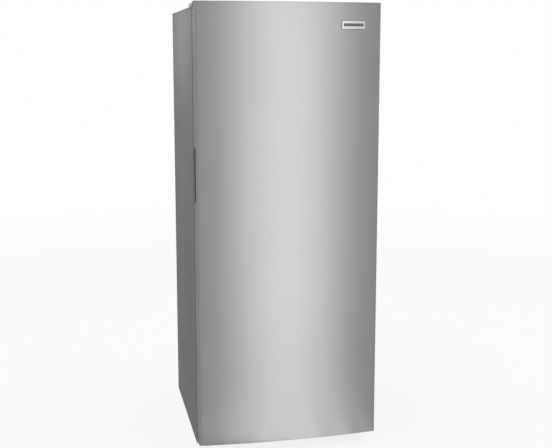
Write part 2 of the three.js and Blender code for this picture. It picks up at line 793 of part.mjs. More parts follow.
function addUpperHinge() {
  const low = cabinetTop + fit;
  const plateHeight = [low, low + armThickness];
  const bracket = joined([
    block([hingeX - 58, half - 4.5], [front + 5, front + 85], plateHeight),
    block([hingeX - armReach, hingeX + armReach - 1.5], [hingeY, front + 10], plateHeight),
    rod('z', armReach - 1.5, plateHeight, [hingeX, hingeY], 24),
    rod('z', pinRadius, [notchFloor - bushLength + 2, low + 1], [hingeX, hingeY]),
  ]);
  add('upper_hinge_bracket', bracket, zincSteel);

  const top = cabinetTop + coverRise;
  const nose = armReach + coverSheet;
  const outer = joined([
    block([half - coverWidth, half - 1], [front + 1, front + coverLength], [low, top]),
    block([hingeX - nose, hingeX + nose - 1], [hingeY, front + 4], [low, top]),
    rod('z', nose - 1, [low, top], [hingeX, hingeY], 24),
  ]);
  const inner = [
    block([half - coverWidth + coverSheet, half - 1 - coverSheet],
      [front + 1 + coverSheet, front + coverLength - coverSheet], [low - 1, top - coverSheet]),
    block([hingeX - armReach - fit, hingeX + armReach - 1], [hingeY, front + 8],
      [low - 1, top - coverSheet]),
    rod('z', armReach - 1, [low - 1, top - coverSheet], [hingeX, hingeY], 24),
  ];
  add('hinge_cover_right', without(outer, inner), greyPlastic);

  const capOuter = block([1 - half, coverWidth - half], [front + 1, front + coverLength],
    [low, top]);
  const capInner = block([1 + coverSheet - half, coverWidth - half - coverSheet],
    [front + 1 + coverSheet, front + coverLength - coverSheet], [low - 1, top - coverSheet]);
  add('corner_cover_left', capOuter.subtract(capInner), greyPlastic);
}

function addLowerHinge() {
  const bracket = joined([
    block([half - 90, half - 4], [front - 3.3, front - fit], [floorGap + 2, baseTop - 4]),
    block([hingeX - 14, half - 4], [hingeY, front - fit], lowerPlate),
    rod('z', hingeInset - 4, lowerPlate, [hingeX, hingeY], 24),
    rod('z', pinRadius + 1, [lowerPlate[0] + 1, doorBottom + bushLength - 2], [hingeX, hingeY]),
  ]);
  add('lower_hinge_bracket', bracket, zincSteel);
}

// ---- Door ----
// The door's outline in plan, drawn in by an inset, closed along a line at its back.
function doorPlan(inset, closeAt) {
  const side = half - inset;
  const radius = bowRadius - inset;
  const corner = Math.max(doorCornerRadius - inset, 1);
  const face = (x) => bowCentre - Math.sqrt(radius ** 2 - x ** 2);
  const shape = new THREE.Shape();
  shape.moveTo(-side, closeAt);
  shape.lineTo(-side, face(side) + corner);
  shape.quadraticCurveTo(-side, face(side), corner - side, face(side - corner));
  for (let i = 1; i <= bowSteps; i += 1) {
    const x = (side - corner) * ((2 * i) / bowSteps - 1);
    shape.lineTo(x, face(x));
  }
  shape.quadraticCurveTo(side, face(side), side, face(side) + corner);
  shape.lineTo(side, closeAt);
  shape.closePath();
  return shape;
}

const capSplit = doorCorner + doorCornerRadius + 2; // skin in front of it, cap ends behind it
const pocketY = [doorCorner + pocketFront, doorBack - pocketBack];
const pocketZ = [pocketBottom, pocketBottom + pocketHeight];
const hingeNotch = block([hingeX - armReach - coverSheet - 2, half + 1],
  [hingeY - 2 * hingeInset + 2, front], [notchFloor, doorTop + 1]);

function bushHoles(clearance) {
  const place = [hingeX, hingeY];
  return [
    rod('z', bushRadius + clearance, [notchFloor - bushLength - clearance, notchFloor + 1], place),
    rod('z', bushRadius + clearance, [doorBottom - 1, doorBottom + bushLength + clearance], place),
  ];
}

function pocketSpace(clearance) {
  return block([-half - 1, pocketDepth + clearance - half],
    [pocketY[0] - clearance, pocketY[1] + clearance],
    [pocketZ[0] - clearance, pocketZ[1] + clearance]);
}

function addDoorSkin() {
  const height = [doorBottom + capLip + fit, doorTop - capLip - fit];
  const beyond = [doorBottom - 1, doorTop + 1];
  const wrap = plate(doorPlan(0, doorBack), height);
  const hollow = plate(doorPlan(sheet, doorBack - sheet), beyond);
  const rear = block([skinHem - half, half - skinHem], [doorBack - 2, doorBack + 1], beyond);
  const ends = [-1, 1].flatMap((side) => {
    const across = side < 0 ? [-half - 1, 12 - half] : [half - 12, half + 1];
    const along = [capSplit, doorBack + 1];
    return [
      block(across, along, [doorBottom - 1, doorBottom + capSkirt + fit]),
      block(across, along, [doorTop - capSkirt - fit, doorTop + 1]),
    ];
  });
  add('door_skin', without(wrap, [hollow, rear, ...ends, pocketSpace(fit)]), brushedSteel);
}

// One end cap: a lip over the end of the skin and a skirt that shows at the door's sides.
function doorCap(outerZ, inwards) {
  const span = (a, b) => [outerZ + inwards * a, outerZ + inwards * b].sort((p, q) => p - q);
  const whole = plate(doorPlan(0, doorBack), span(0, capSkirt));
  const band = plate(doorPlan(-2, doorBack), span(capLip, capSkirt + 1))
    .subtract(plate(doorPlan(sheet + fit, doorBack), span(capLip - 1, capSkirt + 2)))
    .intersect(block([-half - 5, half + 5], [crown - 5, capSplit + fit], span(-1, capSkirt + 3)));
  const hollow = plate(doorPlan(sheet + fit + capWall, doorBack - capWall),
    span(capWall, capSkirt + 1)).intersect(block([-half, hingeX - 24], [crown, doorBack],
    span(0, capSkirt + 2)));
  return without(whole, [band, hollow, ...bushHoles(fit), hingeNotch]);
}

function dykeRing(outer, inner, along) {
  const ring = (inset) => block([inset - dykeSide, dykeSide - inset], along,
    [dykeBottom + inset, dykeTop - inset]);
  return ring(outer).subtract(ring(inner));
}

function addDoorBody() {
  add('door_top_cap', doorCap(doorTop, -1), greyPlastic);
  add('door_bottom_cap', doorCap(doorBottom, 1), greyPlastic);

  const behindFlat = doorBack + fit;
  const coreZ = [doorBottom + capSkirt + fit, doorTop - capSkirt - fit];
  const core = plate(doorPlan(sheet + fit, doorBack - sheet - fit), coreZ);
  const rearFill = block([skinHem + fit - half, half - skinHem - fit],
    [doorBack - 10, doorBack], coreZ);
  const dykeFill = dykeRing(plastic + fit, dykeWidth - plastic - fit,
    [doorBack - 1, dykeCrest - plastic - fit]);
  const capFill = [[doorTop, -1], [doorBottom, 1]].map(([end, inwards]) => {
    const span = [end + inwards * (capWall + fit), end + inwards * (capSkirt + 2)];
    return plate(doorPlan(sheet + 2 * fit + capWall, doorBack - capWall - fit),
      span.sort((a, b) => a - b)).intersect(block([-half, hingeX - 24 - fit], [crown, doorBack],
      [doorBottom, doorTop]));
  });
  const filling = joined([core, rearFill, dykeFill, ...capFill]);
  add('door_foam', without(filling, [pocketSpace(fit), ...bushHoles(fit)]), foam);

  const flat = block([6 - half, half - 6], [behindFlat, linerFace], [doorBottom + 6, doorTop - 6]);
  const dyke = dykeRing(0, dykeWidth, [behindFlat, dykeCrest]);
  const dykeHollow = dykeRing(plastic, dykeWidth - plastic, [behindFlat - 1, dykeCrest - plastic]);
  const lugs = binLevels().flatMap((level) => [-1, 1].map((side) => {
    const across = [side * (fieldSide - lugReach), side * (fieldSide + 1)].sort((a, b) => a - b);
    return block(across, lugAlong, [level + 40, level + 40 + lugHeight]);
  }));
  const liner = joined([flat, dyke, ...lugs]);
  add('door_liner', without(liner, [dykeHollow, hingeNotch]), whitePlastic);
}

const lugAlong = [linerFace + 7, linerFace + 7 + lugLength];

function binLevels() {
  const pitch = (dykeTop - dykeWidth - firstBin) / binCount;
  return Array.from({ length: binCount }, (_, i) => firstBin + i * pitch);
}

function addDoorBins() {
  const side = fieldSide - 1;
  const wall = 2.5;
  const rear = linerFace + 1;
  const nose = rear + binDepth;
  binLevels().forEach((level, i) => {
    const outline = [
      [rear, level], [nose - 14, level], [nose, level + 30], [nose, level + binHeight],
      [rear, level + binHeight],
    ];
    const space = [
      [rear + wall, level + wall], [nose - 15, level + wall], [nose - wall, level + 31],
      [nose - wall, level + binHeight + 1], [rear + wall, level + binHeight + 1],
    ];
    const slots = [-1, 1].map((end) => {
      const across = [end * (side - wall - 1), end * (side + 1)].sort((a, b) => a - b);
      return block(across, [lugAlong[0] - 0.6, lugAlong[1] + 0.6],
        [level - 1, level + 40 + lugHeight + fit]);
    });
    const bin = profile(outline, [-side, side]).subtract(profile(space, [wall - side, side - wall]));
    add(`door_bin_${i + 1}`, without(bin, slots), clearPlastic);
  });
}

function addDoorFittings() {
  const gasketOut = [half - gasketInset, cabinetTop - gasketInset + 3, baseTop + 10];
  const ring = (inset) => block([inset - gasketOut[0], gasketOut[0] - inset],
    [linerFace + fit, front - fit], [gasketOut[2] + inset, gasketOut[1] - inset]);
  add('door_gasket', ring(0).subtract(ring(gasketWidth)), greyRubber);

  const pocketWall = plastic;
  const pocket = block([-half, pocketDepth - half], pocketY, pocketZ).subtract(block(
    [-half - 1, pocketDepth - pocketWall - half], [pocketY[0] + pocketWall, pocketY[1] - pocketWall],
    [pocketZ[0] + pocketWall, pocketZ[1] - pocketWall],
  ));
  add('handle_pocket', pocket, greyPlastic);

  [['upper', notchFloor - bushLength, notchFloor, pinRadius],
    ['lower', lowerPlate[1] + fit, doorBottom + bushLength, pinRadius + 1],
  ].forEach(([name, low, high, pin]) => {
    const bush = rod('z', bushRadius, [low, high], [hingeX, hingeY])
      .subtract(rod('z', pin + fit, [low - 1, high + 1], [hingeX, hingeY]));
    add(`hinge_bush_${name}`, bush, whitePlastic);
  });

  const plateWidth = 96;
  const plateHeight = 33;
  const plateThickness = 1.6;
  const plateX = half - 64 - plateWidth / 2;
  const turn = Math.asin(plateX / bowRadius);
  const standOff = plateWidth ** 2 / (8 * bowRadius) + fit;
  const namePlate = new THREE.BoxGeometry(plateWidth, plateThickness, plateHeight);
  namePlate.translate(0, -bowRadius - standOff - plateThickness / 2, 0);
  namePlate.rotateZ(turn);
  namePlate.translate(0, bowCentre, doorTop - 67 - plateHeight / 2);
  add('name_plate', solid(namePlate), brightPlate);
}

addCabinetShell();
addInsulation();
addLiner();
addBase();
addFeet();
const lineStart = addCompressor();
const condenserInlet = addCondenser();
const evaporator = addEvaporator();
addRefrigerantLines(lineStart, { ...condenserInlet, ...evaporator });
addCondenserFan();
addDrain();
addRearCover();
addEvaporatorFan();
addShelves();
addBasket();
addControl();
addUpperHinge();
addLowerHinge();
addDoorSkin();
addDoorBody();
addDoorBins();
addDoorFittings();

export default freezer;
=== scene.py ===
# An upright freezer with one bowed steel door, finished around its packed construction.
from math import asin, cos, hypot, pi, radians, sin

import bmesh
import bpy
from mathutils import Matrix, Vector


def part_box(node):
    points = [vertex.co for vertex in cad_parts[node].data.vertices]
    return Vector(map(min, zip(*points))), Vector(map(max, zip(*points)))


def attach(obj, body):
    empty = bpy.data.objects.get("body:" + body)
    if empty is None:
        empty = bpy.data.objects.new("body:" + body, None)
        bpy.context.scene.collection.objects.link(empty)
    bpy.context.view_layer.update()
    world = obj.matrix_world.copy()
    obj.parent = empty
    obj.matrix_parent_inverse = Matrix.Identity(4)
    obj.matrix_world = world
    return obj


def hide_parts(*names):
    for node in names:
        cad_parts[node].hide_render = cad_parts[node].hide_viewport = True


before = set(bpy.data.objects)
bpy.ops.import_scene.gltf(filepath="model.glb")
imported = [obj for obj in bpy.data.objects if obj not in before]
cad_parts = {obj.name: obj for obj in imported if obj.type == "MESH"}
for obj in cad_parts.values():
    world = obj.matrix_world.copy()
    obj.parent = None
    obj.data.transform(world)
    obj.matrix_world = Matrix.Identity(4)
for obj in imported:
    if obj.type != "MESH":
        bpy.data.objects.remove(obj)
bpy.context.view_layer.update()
mm = 0.001

# ---- Camera ----
# A still-life lens a little under four metres from the door, left of its middle and near its top.
# It looks down at the door, with a small fall of the lens to hold the feet and the top in frame.
camera_place = (-0.8037, -3.8253, 1.5467)
camera_turn = radians(12.24)
camera_dip = radians(8.85)
camera_data = bpy.data.cameras.new("studio_camera")
camera_data.lens = 61.5
camera_data.sensor_width = 36
camera_data.shift_y = -0.04
camera_data.clip_end = 60
camera = bpy.data.objects.new("studio_camera", camera_data)
camera.location = camera_place
camera.rotation_euler = (pi / 2 - camera_dip, 0, -camera_turn)
into_scene = bpy.context.scene.collection.objects.link
into_scene(camera)
bpy.context.scene.camera = camera
bpy.context.scene.view_settings.view_transform = "Standard"

# ---- Studio floor ----
# A round of white paper, matt, which fades into the white room at its edge.
# It is lit by the lamps, so it keeps the freezer's soft shadow.
paper_white = (0.88, 0.88, 0.88, 1)
paper_radius = 9.0
paper_fade_start = 3.2
paper_fade_end = 6.0
paper_lift = 0.85


def feed(tree, node, fed):
    """Give a node's inputs their values, or links from other nodes and sockets."""
    for socket, value in fed.items():
        if isinstance(value, bpy.types.Node):
            value = value.outputs[0]
        if isinstance(value, bpy.types.NodeSocket):
            tree.links.new(value, node.inputs[socket])
        else:
            node.inputs[socket].default_value = value


def add_node(tree, kind, fed=None, **settings):
    """Add a shader node with its settings, and feed its inputs."""
    node = tree.nodes.new(f"ShaderNode{kind}")
    for word, value in settings.items():
        setattr(node, word, value)
    feed(tree, node, fed or {})
    return node


def empty_tree(owner):
    owner.use_nodes = True
    owner.node_tree.nodes.clear()
    return owner.node_tree


def rays_that_show(tree):
    """1 for what the camera, a gloss or a glass sees, and 0 for the light that falls on things."""
    rays = add_node(tree, "LightPath").outputs
    shown = rays["Is Camera Ray"]
    for ray in ("Is Glossy Ray", "Is Transmission Ray"):
        shown = add_node(tree, "Math", {0: shown, 1: rays[ray]}, operation="MAXIMUM")
    return shown


paper = bpy.data.materials.new("white_paper")
tree = empty_tree(paper)
lift = add_node(tree, "Math", {0: rays_that_show(tree), 1: paper_lift}, operation="MULTIPLY")
matt = add_node(tree, "BsdfDiffuse", {"Color": paper_white})
glow = add_node(tree, "Emission", {"Strength": 1.0})
lifted = add_node(tree, "MixShader", {0: lift, 1: matt, 2: glow})
reach = add_node(tree, "VectorMath", {0: add_node(tree, "TexCoord").outputs["Object"]},
                 operation="LENGTH")
fade = add_node(tree, "MapRange", {"Value": reach.outputs["Value"], "From Min": paper_fade_start,
                                   "From Max": paper_fade_end}, interpolation_type="SMOOTHSTEP")
faded = add_node(tree, "MixShader", {0: fade, 1: lifted, 2: add_node(tree, "BsdfTransparent")})
add_node(tree, "OutputMaterial", {"Surface": faded})

round_of_paper = bmesh.new()
bmesh.ops.create_circle(round_of_paper, cap_ends=True, segments=96, radius=paper_radius)
paper_mesh = bpy.data.meshes.new("studio_floor")
round_of_paper.to_mesh(paper_mesh)
paper_mesh.materials.append(paper)
floor = bpy.data.objects.new("studio_floor", paper_mesh)
into_scene(floor)

# ---- Studio light ----
# A white room, a tall strip close to the door's front, which a second on the floor carries down, a
# large soft box overhead, and low fills at the sides. The strips give the steel its band of light.
room_white = 1.0
room_fill = 0.72
strip_tall = 2.36
floor_strip_reach = 0.92
floor_strip_share = 0.75
# Each strip is three sheets of light, wider and further off: width, brightness and gap.
strip_sheets = ((0.34, 2.0, 0.0), (0.68, 2.65, 0.02), (0.96, 2.5, 0.04))

room = bpy.data.worlds.new("white_room")
bpy.context.scene.world = room
tree = empty_tree(room)
level = add_node(tree, "MapRange", {"Value": rays_that_show(tree), "To Min": room_fill,
                                    "To Max": room_white})
room_light = add_node(tree, "Background", {"Color": (1, 1, 1, 1), "Strength": level})
add_node(tree, "OutputWorld", {"Surface": room_light})


def hang_lamp(name, place, aim, across, tall, watts, **unseen):
    """A soft box: a rectangle of light at a place, facing a point."""
    lamp = bpy.data.lights.new(name, "AREA")
    lamp.shape = "RECTANGLE"
    lamp.size = across
    lamp.size_y = tall
    lamp.energy = watts
    box = bpy.data.objects.new(name, lamp)
    box.location = place
    box.rotation_euler = (Vector(aim) - Vector(place)).to_track_quat("-Z", "Y").to_euler()
    box.visible_camera = False
    for ray, shown in unseen.items():
        setattr(box, ray, shown)
    into_scene(box)
    return box


for wide, brightness, gap in strip_sheets:
    hang_lamp("strip_box", (0.205, -1.3 - gap, 1.2), (0.1, -0.38, 1.2), wide, strip_tall,
              brightness * wide * strip_tall, visible_diffuse=False)
    near_wide = 0.8 * wide
    near_strip = hang_lamp("floor_strip", (0.105, -0.855, 0.02 - gap / 4), (0.105, -0.855, 1),
                           near_wide, floor_strip_reach,
                           floor_strip_share * brightness * near_wide * floor_strip_reach,
                           visible_diffuse=False)
    near_strip.rotation_euler = (pi, 0, radians(14))
hang_lamp("overhead_box", (0.0, -0.6, 3.6), (0.0, 0.0, 0.0), 3.0, 3.0, 26)
hang_lamp("left_fill", (-0.80, 0.02, 2.05), (-0.35, 0.02, 1.70), 0.3, 0.5, 3.6)
hang_lamp("left_top_fill", (-0.62, 0.06, 1.64), (-0.35, 0.06, 1.64), 0.5, 0.24, 1.3,
          visible_glossy=False)
hang_lamp("right_fill", (3.4, -0.4, 1.8), (0.0, 0.0, 0.9), 2.4, 2.6, 7)

# ---- Door skin ----
# One sheet of brushed steel, 1 mm thick, bowed across the front, rolled round both side edges
# and hemmed behind. Its flat sides and hem take a darker copy of the steel, which is painted
# shade.
# A window is cut in its left edge for the pocket handle.
door_low, door_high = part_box("door_skin")
pocket_low, pocket_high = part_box("handle_pocket")
steel_sheet = 1 * mm
door_half = door_high.x
door_bow = 20 * mm
door_crown = door_low.y
door_back = door_high.y
bow_radius = (door_half ** 2 + door_bow ** 2) / (2 * door_bow)
bow_centre = door_crown + bow_radius
bow_steps = 48
edge_roll = 8 * mm
hem_width = 8 * mm
seat_gap = 0.3 * mm
cap_split = door_crown + door_bow + 10 * mm
brushed_grey = (0.214, 0.215, 0.217)
brushed_light = (0.244, 0.245, 0.247)
# Darker tones of the same steel for the door's flat sides: painted shade.
shaded_side_grey = (0.105, 0.106, 0.108)
shaded_side_light = (0.125, 0.126, 0.128)


def start_effect(name, values, masks):
    """A new effect for several finishes: a Vector and named values come in, and masks go out."""
    group = bpy.data.node_groups.new(name, "ShaderNodeTree")
    sockets = group.interface
    sockets.new_socket("Vector", in_out="INPUT", socket_type="NodeSocketVector")
    for word, usual in values.items():
        socket = sockets.new_socket(word, in_out="INPUT", socket_type="NodeSocketFloat")
        socket.default_value = usual
    for word in masks:
        sockets.new_socket(word, in_out="OUTPUT", socket_type="NodeSocketFloat")
    return group, group.nodes.new("NodeGroupInput").outputs, group.nodes.new("NodeGroupOutput")


# Fine straight scratches along X of the given coordinates, with slow clouds of handling.
brush_marks, given, made = start_effect("brush_marks", {"Length": 3.0, "Pitch": 1500.0},
                                        ("Marks", "Clouds"))
stretch = add_node(brush_marks, "CombineXYZ", {"X": given["Length"], "Y": given["Pitch"],
                                               "Z": given["Pitch"]})
drawn = add_node(brush_marks, "VectorMath", {0: given["Vector"], 1: stretch}, operation="MULTIPLY")
feed(brush_marks, made, {
    "Marks": add_node(brush_marks, "TexNoise", {"Vector": drawn, "Scale": 1.0, "Detail": 3.0,
                                                "Roughness": 0.65}),
    "Clouds": add_node(brush_marks, "TexNoise", {"Vector": given["Vector"], "Scale": 4.0,
                                                 "Detail": 2.0})})


def make_finish(name, effect, marks, leads, tones, gloss, relief, plain, turn=None,
                span=(0.3, 0.7)):
    """A finish led by an effect's masks: two near tones, a range of gloss and a small relief."""
    finish = bpy.data.materials.new(name)
    finish.use_nodes = True
    tree = finish.node_tree
    place = add_node(tree, "TexCoord").outputs["Object"]
    if turn:
        place = add_node(tree, "Mapping", {"Vector": place, "Rotation": turn})
    masks = add_node(tree, "Group", {"Vector": place, **marks}, node_tree=effect).outputs
    tone, sheen, height = (masks[word] for word in leads)
    colours = add_node(tree, "ValToRGB", {"Fac": tone})
    for stop, position, colour in zip(colours.color_ramp.elements, span, tones):
        stop.position = position
        stop.color = (*colour, 1)
    roughness = add_node(tree, "MapRange", {"Value": sheen, "From Min": 0.3, "From Max": 0.7,
                                            "To Min": gloss[0], "To Max": gloss[1]})
    bump = add_node(tree, "Bump", {"Height": height, "Strength": relief[0], "Distance": relief[1]})
    feed(tree, tree.nodes["Principled BSDF"], {"Base Color": colours, "Roughness": roughness,
                                               "Normal": bump, **plain})
    return finish


def brushed_metal(name, dark, light, roughness, turn=(0, 0, 0), pitch=1500.0, relief=0.12):
    """Bare metal rubbed in one direction, which turn points away from X."""
    return make_finish(name, brush_marks, {"Pitch": pitch}, ("Marks", "Clouds", "Marks"),
                       (dark, light), (roughness - 0.02, roughness + 0.02), (relief, 0.1 * mm),
                       {"Metallic": 1.0}, turn)


brushed_steel = brushed_metal("brushed_steel", brushed_grey, brushed_light, 0.36)
tree = brushed_steel.node_tree
along_door = add_node(tree, "Tangent", direction_type="RADIAL", axis="Z")
feed(tree, tree.nodes["Principled BSDF"], {"Anisotropic": 0.6, "Anisotropic Rotation": 0.25,
                                           "Tangent": along_door})
# A darker copy of the brushed steel, painted shade on the door's flat sides and hem.
shaded_side_steel = brushed_metal("shaded_side_steel", shaded_side_grey, shaded_side_light, 0.5, turn=(0, pi / 2, 0))


def finish_piece(mesh, name, finish, body, node=None, sharp=35, sheet=0, edge=0,
                 edge_steps=2, more=()):
    """Make a piece of a modelled mesh: smooth it, thicken a sheet, break its edges, mount it."""
    data = bpy.data.meshes.new(name)
    mesh.to_mesh(data)
    mesh.free()
    for coat in (finish, *more):
        data.materials.append(coat)
    data.shade_smooth()
    data.set_sharp_from_angle(angle=radians(sharp))
    piece = bpy.data.objects.new(name, data)
    into_scene(piece)
    if sheet:
        wall = piece.modifiers.new("wall", "SOLIDIFY")
        wall.thickness = sheet
        wall.offset = -1
        wall.use_even_offset = True
    if edge:
        rounding = piece.modifiers.new("edge_radius", "BEVEL")
        rounding.width = edge
        rounding.segments = edge_steps
        rounding.limit_method = "ANGLE"
        rounding.angle_limit = radians(40)
    if sheet or edge:
        flats = piece.modifiers.new("true_flats", "WEIGHTED_NORMAL")
        flats.keep_sharp = True
    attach(piece, body)
    if node:
        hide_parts(node)


def every_face(mesh):
    return mesh.faces[:]


def looking(way):
    """A picker of the faces that look one way."""
    return lambda mesh: [f for f in mesh.faces if f.normal.dot(Vector(way)) > 0.99]


def inside(face, spans):
    """Whether a face's middle lies within the spans, each given by its axis."""
    middle = face.calc_center_median()
    return all(low < middle[axis] < high for axis, (low, high) in spans.items())


def slice_faces(mesh, pick, axis, bounds):
    """Cut the picked faces straight across an axis at each bound."""
    for bound in bounds:
        point, normal = Vector(), Vector()
        point[axis], normal[axis] = bound, 1
        live = dict.fromkeys(part for f in pick(mesh) for part in (f, *f.edges, *f.verts))
        bmesh.ops.bisect_plane(mesh, geom=list(live), plane_co=point, plane_no=normal, dist=1e-6)
    mesh.normal_update()


def cut_window(mesh, pick, spans):
    """Cut a rectangular window through the picked faces."""
    for axis, bounds in spans.items():
        slice_faces(mesh, pick, axis, bounds)
    bmesh.ops.delete(mesh, geom=[f for f in pick(mesh) if inside(f, spans)], context="FACES")


def drawn_points(mesh, edges):
    """Draw a new strip out from edges, and return its far points."""
    made = bmesh.ops.extrude_edge_only(mesh, edges=edges)["geom"]
    return [part for part in made if isinstance(part, bmesh.types.BMVert)]


def face_outward(mesh, way):
    """Turn the faces of a shell alike, so that its outside looks mostly one way."""
    bmesh.ops.recalc_face_normals(mesh, faces=mesh.faces[:])
    if sum(f.normal.dot(Vector(way)) * f.calc_area() for f in mesh.faces) < 0:
        bmesh.ops.reverse_faces(mesh, faces=mesh.faces[:])


skin = bmesh.new()
reach = asin(door_half / bow_radius)
left_corner = skin.verts.new((-door_half, bow_centre - bow_radius * cos(reach), door_low.z))
bow = bmesh.ops.spin(skin, geom=[left_corner], cent=(0, bow_centre, door_low.z), axis=(0, 0, 1),
                     angle=2 * reach, steps=bow_steps)
corners = [left_corner, bow["geom_last"][0]]
for corner in corners:
    side_end = bmesh.ops.extrude_vert_indiv(skin, verts=[corner])["verts"][0]
    side_end.co.y = door_back
    hem = bmesh.ops.extrude_vert_indiv(skin, verts=[side_end])["verts"][0]
    hem.co.x -= hem_width if hem.co.x > 0 else -hem_width
bmesh.ops.bevel(skin, geom=corners, offset=edge_roll, affect="VERTICES", segments=7, profile=0.5,
                material=-1)
bmesh.ops.translate(skin, vec=(0, 0, door_high.z - door_low.z),
                    verts=drawn_points(skin, skin.edges[:]))
face_outward(skin, (0, -1, 0))
cut_window(skin, looking((-1, 0, 0)), {1: (pocket_low.y - seat_gap, pocket_high.y + seat_gap),
                                       2: (pocket_low.z - seat_gap, pocket_high.z + seat_gap)})
for side in (-1, 1):
    for cap in ("door_bottom_cap", "door_top_cap"):
        cap_low, cap_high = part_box(cap)
        cut_window(skin, looking((side, 0, 0)), {1: (cap_split, door_back + 1 * mm),
                                                 2: (cap_low.z - 1 * mm, cap_high.z + 1 * mm)})
# The flat sides and the hem take the darker steel: painted shade.
for face in skin.faces:
    if abs(face.normal.x) > 0.99 or face.normal.y > 0.9:
        face.material_index = 1
finish_piece(skin, "steel_door_skin", brushed_steel, "door", "door_skin",
             sheet=steel_sheet, more=[shaded_side_steel])

# ---- Door end caps ----
# Moulded plastic closures over the two ends of the steel skin. Each has a lip along the front that
# is silvered to match the steel, and near-black ends at the door's sides, which are painted shade.
# The top one clears the hinge.
cap_edge = 1.2 * mm
cap_end = 3 * mm
charcoal = (0.112, 0.114, 0.117)
charcoal_light = (0.132, 0.134, 0.137)

# The fine spark-eroded texture of a plastic mould, with slow variation over the moulding.
moulded_grain, given, made = start_effect("moulded_grain", {"Pitch": 1400.0}, ("Grain", "Flow"))
feed(moulded_grain, made, {
    "Grain": add_node(moulded_grain, "TexVoronoi", {"Vector": given["Vector"],
                                                    "Scale": given["Pitch"]}, feature="SMOOTH_F1"),
    "Flow": add_node(moulded_grain, "TexNoise", {"Vector": given["Vector"], "Scale": 9.0,
                                                 "Detail": 4.0})})


def moulded_plastic(name, dark, light, roughness, pitch=1400.0, relief=0.15):
    """An opaque moulding in one colour, with its fine mould texture."""
    return make_finish(name, moulded_grain, {"Pitch": pitch}, ("Flow", "Flow", "Grain"),
                       (dark, light), (roughness - 0.04, roughness + 0.04),
                       (relief, 0.08 * mm), {})


charcoal_plastic = moulded_plastic("charcoal_plastic", charcoal, charcoal_light, 0.48)
# A near-black copy of the charcoal, painted shade on the caps' ends at the door's sides.
shaded_charcoal = moulded_plastic("shaded_charcoal", (0.028, 0.028, 0.029), (0.036, 0.036, 0.037),
                                  0.6)


def traced(node):
    """A merged copy of a constructed piece, with its flat faces whole again."""
    mesh = bmesh.new()
    mesh.from_mesh(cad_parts[node].data)
    bmesh.ops.remove_doubles(mesh, verts=mesh.verts[:], dist=0.004 * mm)
    bmesh.ops.dissolve_limit(mesh, angle_limit=radians(0.6), verts=mesh.verts[:],
                             edges=mesh.edges[:])
    return mesh


for end in ("top", "bottom"):
    cap = traced(f"door_{end}_cap")
    # End faces at the door's sides take the near-black copy, painted shade; front faces take
    # steel.
    for face in cap.faces:
        if abs(face.normal.x) > 0.9 and abs(face.calc_center_median().x) > door_half - cap_end:
            face.material_index = 1
        elif face.normal.y < -0.5:
            face.material_index = 2
        else:
            face.material_index = 0
    finish_piece(cap, f"{end}_end_cap", charcoal_plastic, "door", f"door_{end}_cap",
                 edge=cap_edge, more=[shaded_charcoal, brushed_steel])

# ---- Pocket handle ----
# A plastic pocket let into the door's left edge, where fingers pull the door open. Its corners are
# well rounded and its mouth has a small lip.
pocket_wall = 2 * mm
pocket_round = 9 * mm
pocket_lip = 0.6 * mm


def block_between(low, high):
    """A plain block between two corners."""
    mesh = bmesh.new()
    bmesh.ops.create_cube(mesh, size=1)
    bmesh.ops.scale(mesh, vec=[b - a for a, b in zip(low, high)], verts=mesh.verts[:])
    bmesh.ops.translate(mesh, vec=[(a + b) / 2 for a, b in zip(low, high)], verts=mesh.verts[:])
    mesh.normal_update()
    return mesh


def round_off(mesh, edges, radius, steps=5):
    bmesh.ops.bevel(mesh, geom=edges, offset=radius, affect="EDGES", segments=steps, profile=0.5,
                    material=-1)


pocket = block_between(pocket_low, pocket_high)
mouth = looking((-1, 0, 0))(pocket)
mouth_edges = {e for f in mouth for e in f.edges}
bmesh.ops.delete(pocket, geom=mouth, context="FACES_ONLY")
round_off(pocket, [e for e in pocket.edges if e not in mouth_edges], pocket_round, 6)
finish_piece(pocket, "pocket_handle", charcoal_plastic, "door", "handle_pocket",
             sheet=pocket_wall, edge=pocket_lip)

# ---- Front plate ----
# A blank bright plate on the door's upper right, on a dark carrier that is a little larger, both
# bent to the bow. The carrier's dark rim round the plate is painted shadow. A satin field is let
# into the plate.
plate_low, plate_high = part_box("name_plate")
plate_width = 92.6 * mm
plate_height = 29.6 * mm
plate_thick = 1.6 * mm
plate_back = 1.4 * mm
plate_corner = 2.5 * mm
plate_strips = 12
shadow_rim_lip = 1.7 * mm
carrier_front = 0.8 * mm
field_width = plate_width - 2 * 7 * mm
field_height = plate_height - 2 * 9.2 * mm
field_depth = 0.5 * mm
plate_edge = 0.22 * mm
bright_metal = brushed_metal("bright_plate", (0.40, 0.40, 0.40), (0.45, 0.45, 0.45), 0.3,
                             relief=0.03)
# The darker metal serves the satin field and the carrier, whose rim round the plate is painted
# shadow.
dark_field_and_shadow_rim = brushed_metal("plate_field_and_shadow_rim", (0.085, 0.085, 0.088), (0.11, 0.11, 0.113), 0.42,
                           relief=0.08)


def take_in(mesh, shape):
    """Add a finished shape to a piece."""
    data = bpy.data.meshes.new("shape")
    shape.to_mesh(data)
    shape.free()
    mesh.from_mesh(data)
    bpy.data.meshes.remove(data)


def add_block(mesh, low, high, radius=0, steps=3, face=None, along=None, material=0, place=None):
    """Add a block to a piece, with all its edges rounded or those of one face or one axis."""
    block = block_between(low, high)
    if radius:
        round_off(block, [
            e for e in block.edges
            if (face is None or any(f.normal.dot(Vector(face)) > 0.9 for f in e.link_faces))
            and (along is None or e.verts[0].co[along] != e.verts[1].co[along])], radius, steps)
    if place:
        bmesh.ops.transform(block, matrix=place, verts=block.verts[:])
    for side_face in block.faces:
        side_face.material_index = material
    take_in(mesh, block)


